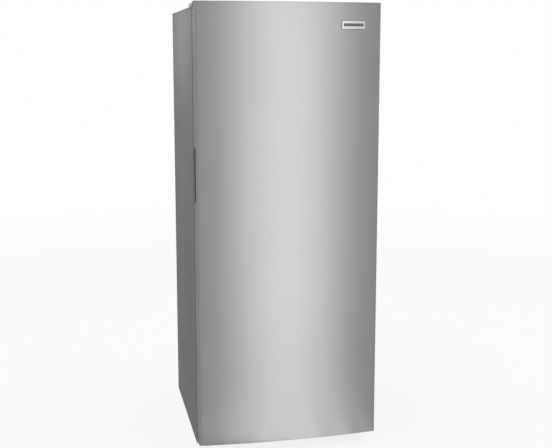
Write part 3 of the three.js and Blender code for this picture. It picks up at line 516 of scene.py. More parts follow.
def draw_out(mesh, faces, vec, keep=False):
    """Draw faces out with walls behind them, leave none under them, and return the moved ones."""
    made = bmesh.ops.extrude_face_region(mesh, geom=faces)["geom"]
    if not keep:
        bmesh.ops.delete(mesh, geom=[f for f in faces if f.is_valid], context="FACES_ONLY")
    bmesh.ops.translate(mesh, vec=vec,
                        verts=[part for part in made if isinstance(part, bmesh.types.BMVert)])
    mesh.normal_update()
    return [part for part in made if isinstance(part, bmesh.types.BMFace)]


plate = bmesh.new()
# The carrier's rim shows as a dark outline round the plate: painted shadow.
for lip, front, back, material in ((shadow_rim_lip, carrier_front, plate_thick, 1),
                                   (0, 0, plate_back, 0)):
    half_width, half_height = plate_width / 2 + lip, plate_height / 2 + lip
    add_block(plate, (-half_width, front, -half_height), (half_width, back, half_height),
              plate_corner, 4, along=1, material=material)
slice_faces(plate, every_face, 0, [plate_width * (k / plate_strips - 0.5)
                                   for k in range(1, plate_strips)])
for axis, size in ((0, field_width), (2, field_height)):
    slice_faces(plate, every_face, axis, (-size / 2, size / 2))
field = [f for f in plate.faces if inside(f, {0: (-field_width / 2, field_width / 2),
                                              1: (-carrier_front, carrier_front / 2),
                                              2: (-field_height / 2, field_height / 2)})]
for face in draw_out(plate, field, (0, field_depth, 0)):
    face.material_index = 1
plate_middle = (plate_low + plate_high) / 2
plate_turn = asin(plate_middle.x / bow_radius)
for point in plate.verts:
    lean = point.co.x / bow_radius + plate_turn
    out = bow_radius + seat_gap + plate_thick - point.co.y
    point.co = (out * sin(lean), bow_centre - out * cos(lean), point.co.z + plate_middle.z)
finish_piece(plate, "front_plate", bright_metal, "door", "name_plate",
             edge=plate_edge, more=[dark_field_and_shadow_rim])

# ---- Cabinet wrapper ----
# One prepainted steel sheet folded round the top and both sides, 1 mm thick. It turns in at the
# front to make the face that the gasket seals on. A pressed seam runs round each side.
shell_low, shell_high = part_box("cabinet_wrapper")
mouth_side = shell_high.x - 40 * mm
mouth_low = shell_low.z + 72 * mm
mouth_top = shell_high.z - 40 * mm
toe_side = shell_high.x - 1.3 * mm
toe_top = shell_low.z + 30 * mm
fold_radius = 4 * mm
mouth_return = 7 * mm
seam_drop = 9 * mm
seam_width = 1.4 * mm
seam_depth = 0.7 * mm
seam_stop = 4 * mm
side_grey = (0.070, 0.071, 0.073)
side_grey_light = (0.076, 0.077, 0.079)

# The small waves of sprayed and baked paint, with faint slow clouds.
paint_peel, given, made = start_effect("paint_peel", {"Pitch": 420.0}, ("Peel", "Clouds"))
feed(paint_peel, made, {
    "Peel": add_node(paint_peel, "TexNoise", {"Vector": given["Vector"], "Detail": 2.0,
                                              "Scale": given["Pitch"]}),
    "Clouds": add_node(paint_peel, "TexNoise", {"Vector": given["Vector"], "Detail": 3.0,
                                                "Scale": 5.0})})


def sprayed_paint(name, dark, light, roughness, pitch=420.0, relief=0.2, metallic=0.0, gloss=0.5):
    """Baked paint or plating on sheet steel."""
    return make_finish(name, paint_peel, {"Pitch": pitch}, ("Clouds", "Clouds", "Peel"),
                       (dark, light), (roughness - 0.03, roughness + 0.03), (relief, 0.15 * mm),
                       {"Metallic": metallic, "Specular IOR Level": gloss})


side_paint = sprayed_paint("side_paint", side_grey, side_grey_light, 0.55, relief=0.25, gloss=0.25)


def press_seam(mesh, side, axis, place, stop):
    """Press a fine straight groove into one side, as far back as stop."""
    pick = looking((side, 0, 0))
    span = (place - seam_width / 2, place + seam_width / 2)
    slice_faces(mesh, pick, axis, span)
    slice_faces(mesh, pick, 1, (stop,))
    line = [f for f in pick(mesh) if inside(f, {axis: span})
            and f.calc_center_median().y < stop]
    draw_out(mesh, line, (-side * seam_depth, 0, 0))


shell = block_between(shell_low, shell_high)
bmesh.ops.delete(shell, geom=[f for f in shell.faces if f.normal.y > 0.9 or f.normal.z < -0.9],
                 context="FACES_ONLY")
round_off(shell, [e for e in shell.edges if len(e.link_faces) == 2], fold_radius, 4)
shell.normal_update()
seam_back = shell_high.y - seam_drop
for side in (-1, 1):
    press_seam(shell, side, 1, seam_back, shell_high.y)
    press_seam(shell, side, 2, shell_high.z - seam_drop, seam_back - seam_stop)
cut_window(shell, looking((0, -1, 0)), {0: (-mouth_side, mouth_side), 2: (mouth_low, mouth_top)})
cut_window(shell, looking((0, -1, 0)), {0: (-toe_side, toe_side), 2: (0, toe_top)})
near = 0.1 * mm
mouth_rim = [e for e in shell.edges if e.is_boundary and all(
    abs(v.co.y - shell_low.y) < near and abs(v.co.x) < mouth_side + near
    and mouth_low - near < v.co.z < mouth_top + near for v in e.verts)]
bmesh.ops.translate(shell, vec=(0, mouth_return, 0), verts=drawn_points(shell, mouth_rim))
seam_ends = [f for f in shell.faces if all(abs(v.co.y - shell_high.y) < near for v in f.verts)
             or all(abs(v.co.z - shell_low.z) < near for v in f.verts)]
bmesh.ops.delete(shell, geom=seam_ends, context="FACES_ONLY")
face_outward(shell, (0, 0, 1))
finish_piece(shell, "painted_wrapper", side_paint, "cabinet", "cabinet_wrapper",
             sheet=steel_sheet)

# ---- Back panel ----
# A galvanised steel sheet that closes the foamed back, let in between the wrapper's edges. Pressed
# fields stiffen it, screws hold its rim, and plastic plugs close the two foaming holes.
panel_low, panel_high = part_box("back_panel")
panel_sheet = 0.8 * mm
panel_rim = 7 * mm
rim_step = 1.7 * mm
panel_face = panel_high.y - rim_step
field_side = (26 * mm, 322 * mm)
field_rows = ((330 * mm, 760 * mm), (800 * mm, 1230 * mm), (1270 * mm, 1680 * mm))
field_slope = 7 * mm
field_press = 2.4 * mm
screw_side = 338 * mm
screw_top = 1706 * mm

# The crystal flowers of hot zinc plating.
zinc_spangle, given, made = start_effect("zinc_spangle", {"Flowers": 90.0}, ("Tone", "Frost"))
flowers = add_node(zinc_spangle, "TexVoronoi", {"Vector": given["Vector"],
                                                "Scale": given["Flowers"]})
feed(zinc_spangle, made, {
    "Tone": add_node(zinc_spangle, "SeparateColor", {"Color": flowers.outputs["Color"]}),
    "Frost": add_node(zinc_spangle, "TexNoise", {"Vector": given["Vector"], "Scale": 600.0})})


def zinc_plate(name, dark, light, roughness, flowers):
    """Zinc-coated sheet steel."""
    return make_finish(name, zinc_spangle, {"Flowers": flowers}, ("Tone", "Tone", "Frost"),
                       (dark, light), (roughness - 0.05, roughness + 0.05), (0.12, 0.1 * mm),
                       {"Metallic": 0.85}, span=(0.0, 1.0))


galvanised = zinc_plate("galvanised_sheet", (0.43, 0.44, 0.45), (0.49, 0.50, 0.51), 0.42, 160.0)
bright_zinc = zinc_plate("bright_zinc", (0.50, 0.50, 0.50), (0.60, 0.60, 0.59), 0.32, 500.0)
white_moulding = moulded_plastic("white_plastic", (0.74, 0.745, 0.74), (0.79, 0.79, 0.785), 0.38,
                                 relief=0.06)


def flat_sheet(low, high, way):
    """The one face of a block that looks a given way."""
    mesh = block_between(low, high)
    bmesh.ops.delete(mesh, geom=[f for f in mesh.faces if f.normal.dot(Vector(way)) < 0.9],
                     context="FACES")
    return mesh


def in_plane(axis, place):
    """A picker of the faces that lie in a plane across an axis."""
    return lambda mesh: [f for f in mesh.faces
                         if abs(f.calc_center_median()[axis] - place) < 0.01 * mm]


def press_fields(mesh, pick, sides, axis, rows, slope, depth):
    """Press a field into each half of the picked faces, for each row along an axis."""
    slice_faces(mesh, pick, 0, [side * bound for side in (-1, 1) for bound in sides])
    slice_faces(mesh, pick, axis, [bound for row in rows for bound in row])
    fields = [f for f in pick(mesh) if sides[0] < abs(f.calc_center_median().x) < sides[1]
              and any(inside(f, {axis: row}) for row in rows)]
    bmesh.ops.inset_individual(mesh, faces=fields, thickness=slope, depth=-depth)


def make_whole(mesh):
    """Join the faces of a mesh that lie in one plane, in an order that no run changes."""
    bmesh.ops.dissolve_limit(
        mesh, angle_limit=radians(1), verts=sorted(mesh.verts, key=lambda v: v.co.to_tuple(5)),
        edges=sorted(mesh.edges, key=lambda e: (e.verts[0].co + e.verts[1].co).to_tuple(5)))


def turned(outline, place=(0, 0, 0), way=(0, 0, 1), steps=24, material=0, stretch=1):
    """A shape turned from radii and heights in millimetres, stood at a place along a direction."""
    shape = bmesh.new()
    points = [shape.verts.new((radius * mm, 0, height * mm)) for radius, height in outline]
    edges = [shape.edges.new(pair) for pair in zip(points, points[1:])]
    bmesh.ops.spin(shape, geom=points + edges, cent=(0, 0, 0), axis=(0, 0, 1), angle=2 * pi,
                   steps=steps, use_merge=True)
    bmesh.ops.remove_doubles(shape, verts=shape.verts[:], dist=1e-6)
    bmesh.ops.recalc_face_normals(shape, faces=shape.faces[:])
    aim = Vector((0, 0, 1)).rotation_difference(Vector(way)).to_matrix().to_4x4()
    size = Matrix.Diagonal((stretch, 1, 1, 1))
    bmesh.ops.transform(shape, matrix=Matrix.Translation(place) @ aim @ size, verts=shape.verts[:])
    for face in shape.faces:
        face.material_index = material
    return shape


def set_screws(mesh, places, way, radius=4.2, height=1.5, material=0):
    """Set screws in a piece, each a washer with a low hexagonal head."""
    for place in places:
        take_in(mesh, turned(((0, 0), (radius, 0), (radius, height * 0.3),
                              (radius * 0.72, height * 0.36), (0, height * 0.36)),
                             place, way, 16, material))
        take_in(mesh, turned(((0, 0), (radius * 0.66, 0), (radius * 0.66, height * 0.86),
                              (radius * 0.56, height), (radius * 0.22, height),
                              (radius * 0.18, height * 0.6), (0, height * 0.6)),
                             place, way, 6, material))


panel = flat_sheet(panel_low, panel_high, (0, 1, 0))
bmesh.ops.inset_region(panel, faces=panel.faces[:], thickness=panel_rim, depth=-rim_step,
                       use_boundary=True)
press_fields(panel, in_plane(1, panel_face), field_side, 2, field_rows, field_slope,
             field_press)
make_whole(panel)
finish_piece(panel, "rear_panel", galvanised, "cabinet", "back_panel",
             sheet=panel_sheet, sharp=20)

rim_screws = bmesh.new()
set_screws(rim_screws, [(side * screw_side, panel_face, height * mm) for side in (-1, 1)
                        for height in (300, 520, 780, 1020, 1250, 1480, 1700)], (0, 1, 0))
set_screws(rim_screws, [(across * mm, panel_face, screw_top) for across in (-220, -75, 75, 220)],
           (0, 1, 0))
finish_piece(rim_screws, "rear_panel_screws", bright_zinc, "cabinet")

foam_plugs = bmesh.new()
for height in (781, 1250):
    take_in(foam_plugs, turned(((0, 0.6), (7, 0.6), (9, 1.5), (13, 1.5), (14, 0.8), (14, 0),
                                (0, 0)), (0, panel_face, height * mm), (0, 1, 0), 28))
finish_piece(foam_plugs, "foaming_hole_plugs", white_moulding, "cabinet")

# ---- Rigid foam ----
# Polyurethane foam fills the walls, with a separate slab between the liner and the back panel, and
# fills the door. At the back it is drawn in for the panel's pressed fields.
foam_back = panel_face - field_press - 1.2 * mm
rigid_foam = moulded_plastic("rigid_foam", (0.66, 0.56, 0.33), (0.74, 0.65, 0.43), 0.9,
                             pitch=700.0, relief=0.5)
for node, name, body in (("cabinet_foam", "wall_foam", "cabinet"),
                         ("rear_foam", "rear_foam_slab", "cabinet"),
                         ("door_foam", "door_core", "door")):
    filling = traced(node)
    for point in filling.verts:
        point.co.y = min(point.co.y, foam_back)
    finish_piece(filling, name, rigid_foam, body, node, edge=1.5 * mm)

# ---- Rear cover ----
# The louvred sheet over the machine compartment, held by screws. Air passes under pressed hoods,
# and a rubber bushing lines the hole for the mains lead.
cover_low, cover_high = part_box("rear_cover")
cover_sheet = 0.8 * mm
vent_columns = (-255 * mm, 40 * mm)
vent_first = 82 * mm
vent_pitch = 16 * mm
vent_count = 9
vent_long = 150 * mm
vent_tall = 6 * mm
hood_rise = 2.9 * mm
hood_over = 1 * mm
hood_tall = 8.5 * mm
inlet_half = 7 * mm


def middle_of(node):
    low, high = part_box(node)
    return (low + high) / 2


rear_cover = flat_sheet(cover_low, cover_high, (0, 1, 0))
vents = [(x, vent_first + row * vent_pitch) for row in range(vent_count) for x in vent_columns]
for x, z in vents:
    cut_window(rear_cover, every_face, {0: (x, x + vent_long), 2: (z, z + vent_tall)})
inlet = middle_of("power_inlet")
cut_window(rear_cover, every_face, {0: (inlet.x - inlet_half, inlet.x + inlet_half),
                                    2: (inlet.z - inlet_half, inlet.z + inlet_half)})
make_whole(rear_cover)
for x, z in vents:
    hood = bmesh.new()
    bmesh.ops.create_grid(hood, x_segments=12, y_segments=5, size=0.5)
    for point in hood.verts:
        along, up = point.co.x + 0.5, point.co.y + 0.5
        end_fade = min(1, along * 10, (1 - along) * 10)
        rise = hood_rise * sin(pi / 2 * (1 - up)) ** 0.5 * end_fade if up < 1 else 0
        point.co = (x - hood_over + along * (vent_long + 2 * hood_over), cover_high.y + rise,
                    z - hood_over / 2 + up * hood_tall)
    face_outward(hood, (0, 1, 0))
    take_in(rear_cover, hood)
finish_piece(rear_cover, "louvred_cover", galvanised, "cabinet", "rear_cover",
             sheet=cover_sheet)

cover_screws = bmesh.new()
set_screws(cover_screws, [(across * mm, cover_high.y, height * mm) for height in (34, 258)
                          for across in (-338, -120, 0, 120, 338)], (0, 1, 0), 5, 2.4)
finish_piece(cover_screws, "cover_screws", bright_zinc, "cabinet")

black_moulding = moulded_plastic("black_plastic", (0.018, 0.018, 0.019), (0.028, 0.028, 0.029),
                                 0.46)
bushing = turned(((4, -9.5), (5, -10.5), (8, -10.5), (8.8, -9), (8.8, 0.1), (12.4, 0.1), (13, 0.8),
                  (12.6, 2), (11.5, 2.8), (6, 2.8), (4.4, 2), (4, 0), (4, -9.5)),
                 (inlet.x, cover_high.y, inlet.z), (0, 1, 0), 28)
finish_piece(bushing, "mains_bushing", black_moulding, "cabinet", "power_inlet")

# ---- Hinge cover and corner cover ----
# Two grey plastic covers on the cabinet's front top corners. The right one is a hood over the
# hinge with a nose round its pin, and the left one is its plain partner.
hood_low, hood_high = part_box("hinge_cover_right")
plain_low, plain_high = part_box("corner_cover_left")
nose_place = (341 * mm, -325 * mm)
nose_half = 12.7 * mm
hood_taper = 0.8 * mm
cover_wall = 2.2 * mm
cover_corner = 5 * mm
cover_crest = 2.6 * mm
middle_grey = moulded_plastic("middle_grey_plastic", (0.150, 0.152, 0.155), (0.175, 0.177, 0.180),
                              0.5)


def raise_cover(mesh, height):
    """Raise a plan face into a hood: open below, its upright corners and its crest rounded."""
    draw_out(mesh, mesh.faces[:], (0, 0, height))
    round_off(mesh, [e for e in mesh.edges if e.calc_face_angle(0) > radians(60)
                     and abs(e.verts[0].co.z - e.verts[1].co.z) > height / 2], cover_corner, 5)
    mesh.normal_update()
    level = max(v.co.z for v in mesh.verts)
    round_off(mesh, [e for e in mesh.edges if e.calc_face_angle(0) > radians(40)
                     and all(abs(v.co.z - level) < 1e-6 for v in e.verts)], cover_crest, 4)
    face_outward(mesh, (0, 0, 1))


hood = bmesh.new()
nose_left = hood.verts.new((nose_place[0] - nose_half, nose_place[1], hood_low.z))
nose = bmesh.ops.spin(hood, geom=[nose_left], cent=(*nose_place, 0), axis=(0, 0, 1), angle=pi,
                      steps=14)
plan = [nose["geom_last"][0]]
for x, y in ((hood_high.x - hood_taper, plain_low.y), (hood_high.x, hood_high.y),
             (hood_low.x, hood_high.y), (hood_low.x, plain_low.y), (nose_left.co.x, plain_low.y)):
    plan.append(hood.verts.new((x, y, hood_low.z)))
for ends in zip(plan, plan[1:] + [nose_left]):
    hood.edges.new(ends)
bmesh.ops.contextual_create(hood, geom=hood.edges[:])
raise_cover(hood, hood_high.z - hood_low.z)
finish_piece(hood, "hinge_hood", middle_grey, "cabinet", "hinge_cover_right",
             sheet=cover_wall)

partner = flat_sheet(plain_low - Vector((0, 0, 1)), (plain_high.x, plain_high.y, plain_low.z),
                     (0, 0, 1))
raise_cover(partner, plain_high.z - plain_low.z)
finish_piece(partner, "corner_hood", middle_grey, "cabinet", "corner_cover_left",
             sheet=cover_wall)

# ---- Hinges ----
# Pressed steel brackets, plated, each with a pin that turns in a white plastic bush in the door's
# cap. Hexagon-headed screws hold the upper one to the top and the lower one to the base.


def finish_traced(node, name, finish, body="cabinet", edge=0):
    """Finish a piece in its constructed shape, with its edges broken."""
    finish_piece(traced(node), name, finish, body, node, edge=edge)


for word in ("upper", "lower"):
    finish_traced(f"{word}_hinge_bracket", f"{word}_hinge", bright_zinc,
                  edge=0.7 * mm)
for word in ("upper", "lower"):
    finish_traced(f"hinge_bush_{word}", f"hinge_bush_{word}_sleeve", white_moulding,
                  "door", 0.5 * mm)
hinge_screws = bmesh.new()
set_screws(hinge_screws, [(x * mm, y * mm, 1730 * mm) for y in (-262, -210) for x in (297, 338)],
           (0, 0, 1), 6.5, 5)
set_screws(hinge_screws, [(x * mm, -284.3 * mm, 30 * mm) for x in (278, 300, 322)], (0, -1, 0),
           5.5, 4)
finish_piece(hinge_screws, "hinge_screws", bright_zinc, "cabinet")

# ---- Base, feet and rollers ----
# A folded steel frame under the cabinet. Two levelling feet screw into its front rail, and two
# plastic rollers turn on one steel rod across its back.
thread_pitch = 1.6 * mm
thread_steps = 12
thread_turns = 17
foot_outline = ((0, 0), (15.5, 0), (17.5, 1), (18, 2.5), (18, 6), (17, 7.6), (15, 8), (0, 8))
nut_outline = ((0, 7), (10.6, 7), (10.6, 14), (9.6, 15), (0, 15))
stud_outline = ((0, 10), (4.2, 10), (4.2, 44.2), (3.4, 45), (0, 45))
ridge_outline = ((4.0, 15.4), (5.0, 16.0), (4.0, 16.6))
wheel_outline = ((3.3, -7), (5.8, -7), (6.2, -6.5), (6.2, -2), (9.8, -2), (10, -6.4), (10.6, -7),
                 (12.2, -7), (13, -6), (13, 6), (12.2, 7), (10.6, 7), (10, 6.4), (9.8, 2),
                 (6.2, 2), (6.2, 6.5), (5.8, 7), (3.3, 7), (3.3, -7))
wheel_webs = 6
finish_traced("base_frame", "folded_base", galvanised, edge=0.5 * mm)
for word in ("left", "right"):
    leg = middle_of(f"levelling_leg_{word}")
    foot_place = (leg.x, leg.y, 0)
    foot = turned(foot_outline, foot_place, steps=40)
    take_in(foot, turned(nut_outline, foot_place, steps=6))
    take_in(foot, turned(stud_outline, foot_place, steps=thread_steps, material=1))
    thread = bmesh.new()
    ridge = [thread.verts.new((radius * mm, 0, height * mm)) for radius, height in ridge_outline]
    ridge_edges = [thread.edges.new((ridge[k], ridge[k - 1])) for k in range(3)]
    bmesh.ops.spin(thread, geom=ridge + ridge_edges, cent=(0, 0, 0), axis=(0, 0, 1),
                   dvec=(0, 0, thread_pitch / thread_steps), angle=2 * pi * thread_turns,
                   steps=thread_turns * thread_steps)
    bmesh.ops.holes_fill(thread, edges=[e for e in thread.edges if e.is_boundary], sides=3)
    bmesh.ops.recalc_face_normals(thread, faces=thread.faces[:])
    bmesh.ops.translate(thread, vec=foot_place, verts=thread.verts[:])
    for face in thread.faces:
        face.material_index = 1
    take_in(foot, thread)
    finish_piece(foot, f"levelling_foot_{word}", black_moulding, f"leg_{word}",
                 f"levelling_leg_{word}", more=[bright_zinc])

    hub = middle_of(f"roller_{word}")
    wheel = turned(wheel_outline, hub, (1, 0, 0), 32)
    for k in range(wheel_webs):
        add_block(wheel, (-5.5 * mm, -0.9 * mm, 5 * mm), (5.5 * mm, 0.9 * mm, 10.4 * mm),
                  place=Matrix.Translation(hub) @ Matrix.Rotation(2 * pi * k / wheel_webs, 4, "X"))
    finish_piece(wheel, f"roller_wheel_{word}", black_moulding, f"roller_{word}", f"roller_{word}")

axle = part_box("roller_axle")[1].x / mm
rod = turned(((0, -axle), (2.2, -axle), (3, 1 - axle), (3, axle - 1), (2.2, axle), (0, axle)),
             middle_of("roller_axle"), (1, 0, 0), 20)
finish_piece(rod, "roller_rod", bright_zinc, "cabinet", "roller_axle")

# ---- Liner ----
# One white plastic sheet formed under vacuum into the cold space, with the step over the machine
# compartment, round corners and four pairs of ledges. Its rim lies behind the wrapper's front.
liner_low, liner_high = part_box("inner_liner")
liner_wall = 2 * mm
hollow_side = 293.5 * mm
hollow_low = 113 * mm
hollow_top = 1664.5 * mm
hollow_back = 313 * mm
step_front = 75 * mm
step_top = 335 * mm
liner_round = 6.5 * mm
mouth_round = 5 * mm
ledge_reach = 12 * mm
ledge_tall = 8 * mm
ledge_round = 2.6 * mm
shelf_gap = 0.3 * mm
shelf_boxes = [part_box(f"shelf_{k}") for k in (1, 2, 3, 4)]

liner = bmesh.new()
liner.faces.new([liner.verts.new((-hollow_side, y, z)) for y, z in (
    (liner_low.y, hollow_low), (step_front, hollow_low), (step_front, step_top),
    (hollow_back, step_top), (hollow_back, hollow_top), (liner_low.y, hollow_top))])
draw_out(liner, liner.faces[:], (2 * hollow_side, 0, 0), keep=True)
bmesh.ops.delete(liner, geom=in_plane(1, liner_low.y)(liner), context="FACES_ONLY")
bmesh.ops.recalc_face_normals(liner, faces=liner.faces[:])
round_off(liner, [e for e in liner.edges if len(e.link_faces) == 2], liner_round, 5)
for point in drawn_points(liner, [e for e in liner.edges if e.is_boundary]):
    point.co.x = liner_high.x if point.co.x > 0 else liner_low.x
    point.co.z = liner_high.z if point.co.z > 1 else liner_low.z
bmesh.ops.remove_doubles(liner, verts=liner.verts[:], dist=1e-5)
round_off(liner, [e for e in liner.edges if e.calc_face_angle(0) > radians(60)
                  and all(abs(v.co.y - liner_low.y) < 1e-5 for v in e.verts)], mouth_round, 4)
face_outward(liner, (0, -1, 0))
finish_piece(liner, "formed_liner", white_moulding, "cabinet", "inner_liner",
             sheet=liner_wall)

ledges = bmesh.new()
for low, high in shelf_boxes:
    for side in (-1, 1):
        near, far = sorted((side * (hollow_side + 1 * mm), side * (hollow_side - ledge_reach)))
        add_block(ledges, (near, low.y, low.z - shelf_gap - ledge_tall),
                  (far, high.y, low.z - shelf_gap), ledge_round, 4, face=(-side, 0, 0))
finish_piece(ledges, "shelf_ledges", white_moulding, "cabinet")

# ---- Evaporator cover ----
# A white moulded cover over the cold coil at the back of the liner. Slots let the air in below and
# out round the fan, and four screws hold it.
coil_cover_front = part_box("evaporator_cover")[0].y
fan_height = 660 * mm
rib_half = 2 * mm
finish_traced("evaporator_cover", "coil_cover", white_moulding, edge=1 * mm)
cover_trim = turned(((62, 0), (62, 1.4), (63, 2.2), (66, 2.2), (67, 1.4), (67, 0), (62, 0)),
                    (0, coil_cover_front, fan_height), (0, -1, 0), 64)
for x in (-272, 272):
    for z in (352, 744):
        take_in(cover_trim, turned(((0, 0.4), (3, 0.4), (3.4, 1.6), (5.6, 1.6), (6.4, 0.9),
                                    (6.4, 0), (0, 0)), (x * mm, coil_cover_front, z * mm),
                                   (0, -1, 0)))
for x in (-225, -150, 150, 225):
    add_block(cover_trim, (x * mm - rib_half, coil_cover_front - 1.5 * mm, 400 * mm),
              (x * mm + rib_half, coil_cover_front + 0.5 * mm, 720 * mm), 0.9 * mm,
              face=(0, -1, 0))
finish_piece(cover_trim, "coil_cover_trim", white_moulding, "cabinet")

# ---- Shelves ----
# Four shelves of white enamelled steel wire, welded: a bent rim, cross bars beneath and thin wires
# from front to back. They rest on the liner's ledges.
rim_wire = 2.0 * mm
rim_bend = 14 * mm
shelf_bar = 1.7 * mm
front_bar = 11 * mm
middle_bars = (0.36, 0.7)
shelf_fine = 1.35 * mm
fine_pitch = 18.5 * mm
white_enamel = sprayed_paint("white_enamel", (0.72, 0.725, 0.72), (0.77, 0.77, 0.765), 0.24,
                             pitch=900.0, relief=0.15)


def bent(corners, bend, closed=False, steps=5):
    """A run of points along straight lines whose corners are bent to a radius."""
    corners = [Vector(c) for c in corners]
    run = []
    for k, corner in enumerate(corners):
        if not closed and k in (0, len(corners) - 1):
            run.append(corner)
            continue
        before = corners[k - 1] - corner
        after = corners[(k + 1) % len(corners)] - corner
        half_turn = (pi - before.angle(after)) / 2
        reach = min(bend * sin(half_turn) / cos(half_turn), before.length / 2, after.length / 2)
        start, end = corner + before.normalized() * reach, corner + after.normalized() * reach
        for step in range(steps + 1):
            t = step / steps
            run.append(start * (1 - t) ** 2 + corner * 2 * t * (1 - t) + end * t ** 2)
    return run


def wires(runs, sides=3):
    """Round wires along runs, each given as points and a radius, with True if it is closed."""
    data = bpy.data.curves.new("wires", "CURVE")
    data.dimensions = "3D"
    data.bevel_depth = 1.0
    data.bevel_resolution = sides
    data.use_fill_caps = True
    for points, radius, *closed in runs:
        line = data.splines.new("POLY")
        line.points.add(len(points) - 1)
        line.use_cyclic_u = bool(closed)
        for spot, place in zip(line.points, points):
            spot.co = (*place, 1)
            spot.radius = radius
    holder = bpy.data.objects.new("wires", data)
    into_scene(holder)
    bpy.context.view_layer.update()
    seen_mesh = bpy.data.meshes.new_from_object(
        holder.evaluated_get(bpy.context.evaluated_depsgraph_get()))
    mesh = bmesh.new()
    mesh.from_mesh(seen_mesh)
    bmesh.ops.remove_doubles(mesh, verts=mesh.verts[:], dist=1e-6)
    bpy.data.objects.remove(holder)
    bpy.data.curves.remove(data)
    bpy.data.meshes.remove(seen_mesh)
    return mesh


def wire_ring(half, near, far, height, bend):
    """A closed level run round four bent corners, for the rim wire."""
    corners = ((-half, near), (half, near), (half, far), (-half, far))
    return bent([(x, y, height) for x, y in corners], bend, closed=True), rim_wire, True


for number, (low, high) in enumerate(shelf_boxes, 1):
    half = high.x - rim_wire
    near, far = low.y + rim_wire, high.y - rim_wire
    runs = [wire_ring(half, near, far, (low.z + high.z) / 2, rim_bend)]
    for y in (near + front_bar, *(near + share * (far - near) for share in middle_bars)):
        runs.append(([(-half, y, low.z + shelf_bar), (half, y, low.z + shelf_bar)], shelf_bar))
    count = int(2 * half / fine_pitch)
    for k in range(1, count):
        x, z = half * (2 * k / count - 1), high.z - shelf_fine
        runs.append(([(x, near, z), (x, far, z)], shelf_fine))
    finish_piece(wires(runs), f"wire_shelf_{number}", white_enamel, "cabinet", f"shelf_{number}",
                 sharp=60)

# ---- Basket and rails ----
# A basket of the same wire at the bottom, its side rims sliding on two white plastic rails. Each
# thin wire is one piece, bent under the load from rim to rim.
basket_low, basket_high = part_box("basket")
basket_wire = 1.3 * mm
basket_wall = 281.2 * mm
basket_bend = 12 * mm
belt_height = 95 * mm
long_wires = 25
long_pitch = 22 * mm
cross_wires = 9
cross_ends = 14 * mm
near, far = basket_low.y + rim_wire, basket_high.y - rim_wire
wide = basket_high.x - rim_wire
top = basket_high.z - rim_wire
shoulder = top - 8 * mm
floor_z = basket_low.z + basket_wire
cross_z = floor_z + 1.5 * basket_wire
inner_wall = basket_wall - basket_wire - 1 * mm
runs = [wire_ring(wide, near, far, top, 10 * mm),
        wire_ring(basket_wall - rim_wire - 2 * mm, near, far, basket_low.z + belt_height, 10 * mm)]
for k in range(long_wires):
    x = (k - long_wires // 2) * long_pitch
    runs.append((bent([(x, near, top), (x, near + 2 * mm, floor_z), (x, far - 2 * mm, floor_z),
                       (x, far, top)], basket_bend), basket_wire))
for k in range(cross_wires):
    y = near + cross_ends + k * (far - near - 2 * cross_ends) / (cross_wires - 1)
    runs.append((bent([(x, y, z) for x, z in (
        (-wide, top), (-inner_wall, shoulder), (-inner_wall, cross_z), (inner_wall, cross_z),
        (inner_wall, shoulder), (wide, top))], 8 * mm), basket_wire))
finish_piece(wires(runs), "wire_basket", white_enamel, "basket", "basket", sharp=60)
for word in ("left", "right"):
    finish_traced(f"basket_rail_{word}", f"{word}_basket_rail", white_moulding,
                  edge=0.6 * mm)

# ---- Control and lamp ----
# A white housing under the roof of the liner. It holds the temperature knob, with raised marks
# round it, a ribbed milky lens over the lamp, and near it the door's lamp switch.
box_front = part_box("control_housing")[0].y
dial = middle_of("temperature_knob")
dial_steps = 7
mark_grey = moulded_plastic("mark_grey", (0.12, 0.12, 0.125), (0.15, 0.15, 0.155), 0.5)
finish_traced("control_housing", "control_box", white_moulding, edge=1.2 * mm)
marks = bmesh.new()
for k in range(dial_steps):
    add_block(marks, (-0.45 * mm, -0.3 * mm, 17 * mm), (0.45 * mm, 0.2 * mm, 18.3 * mm),
              place=Matrix.Translation((dial.x, box_front, dial.z))
              @ Matrix.Rotation(radians(45 * k - 135), 4, "Y"))
finish_piece(marks, "dial_marks", mark_grey, "cabinet")

knob_place = (dial.x, box_front - 0.3 * mm, dial.z)
knob_seat = Matrix.Translation(knob_place)
knob = turned(((0, -14), (4, -14), (4, 0), (16, 0), (16, 3), (15.2, 3.6), (14.6, 10.8), (13.8, 12),
               (0, 12)), knob_place, (0, -1, 0), 40)
add_block(knob, (-3 * mm, -17 * mm, -13.5 * mm), (3 * mm, -11 * mm, 13.5 * mm), 1.4 * mm,
          place=knob_seat)
add_block(knob, (-0.7 * mm, -17.2 * mm, 4 * mm), (0.7 * mm, -16.5 * mm, 11.5 * mm), material=1,
          place=knob_seat)
finish_piece(knob, "dial_knob", middle_grey, "knob", "temperature_knob",
             more=[white_moulding])


def clear_moulding(name, tint, roughness, clearness=1.0):
    """A clear or milky moulded plastic with faint waves from the mould."""
    return make_finish(name, paint_peel, {"Pitch": 60.0}, ("Clouds", "Clouds", "Peel"),
                       (tint, [0.97 * k for k in tint]), (roughness, roughness + 0.04),
                       (0.08, 0.3 * mm), {"Transmission Weight": clearness, "IOR": 1.49})


frosted = clear_moulding("frosted_lens", (0.90, 0.91, 0.91), 0.28, clearness=0.25)
lens_low, lens_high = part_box("lamp_lens")
lens_ribs = 14
lens_rim = 8 * mm
lens = traced("lamp_lens")
for k in range(lens_ribs):
    x = lens_low.x + lens_rim + k * (lens_high.x - lens_low.x - 2 * lens_rim) / (lens_ribs - 1)
    add_block(lens, (x - 1.6 * mm, lens_low.y + 5 * mm, lens_low.z + 1.4 * mm),
              (x + 1.6 * mm, lens_high.y - 5 * mm, lens_low.z + 3 * mm), 1 * mm, face=(0, 0, 1),
              along=1)
finish_piece(lens, "lamp_cover", frosted, "cabinet", "lamp_lens", edge=0.5 * mm)

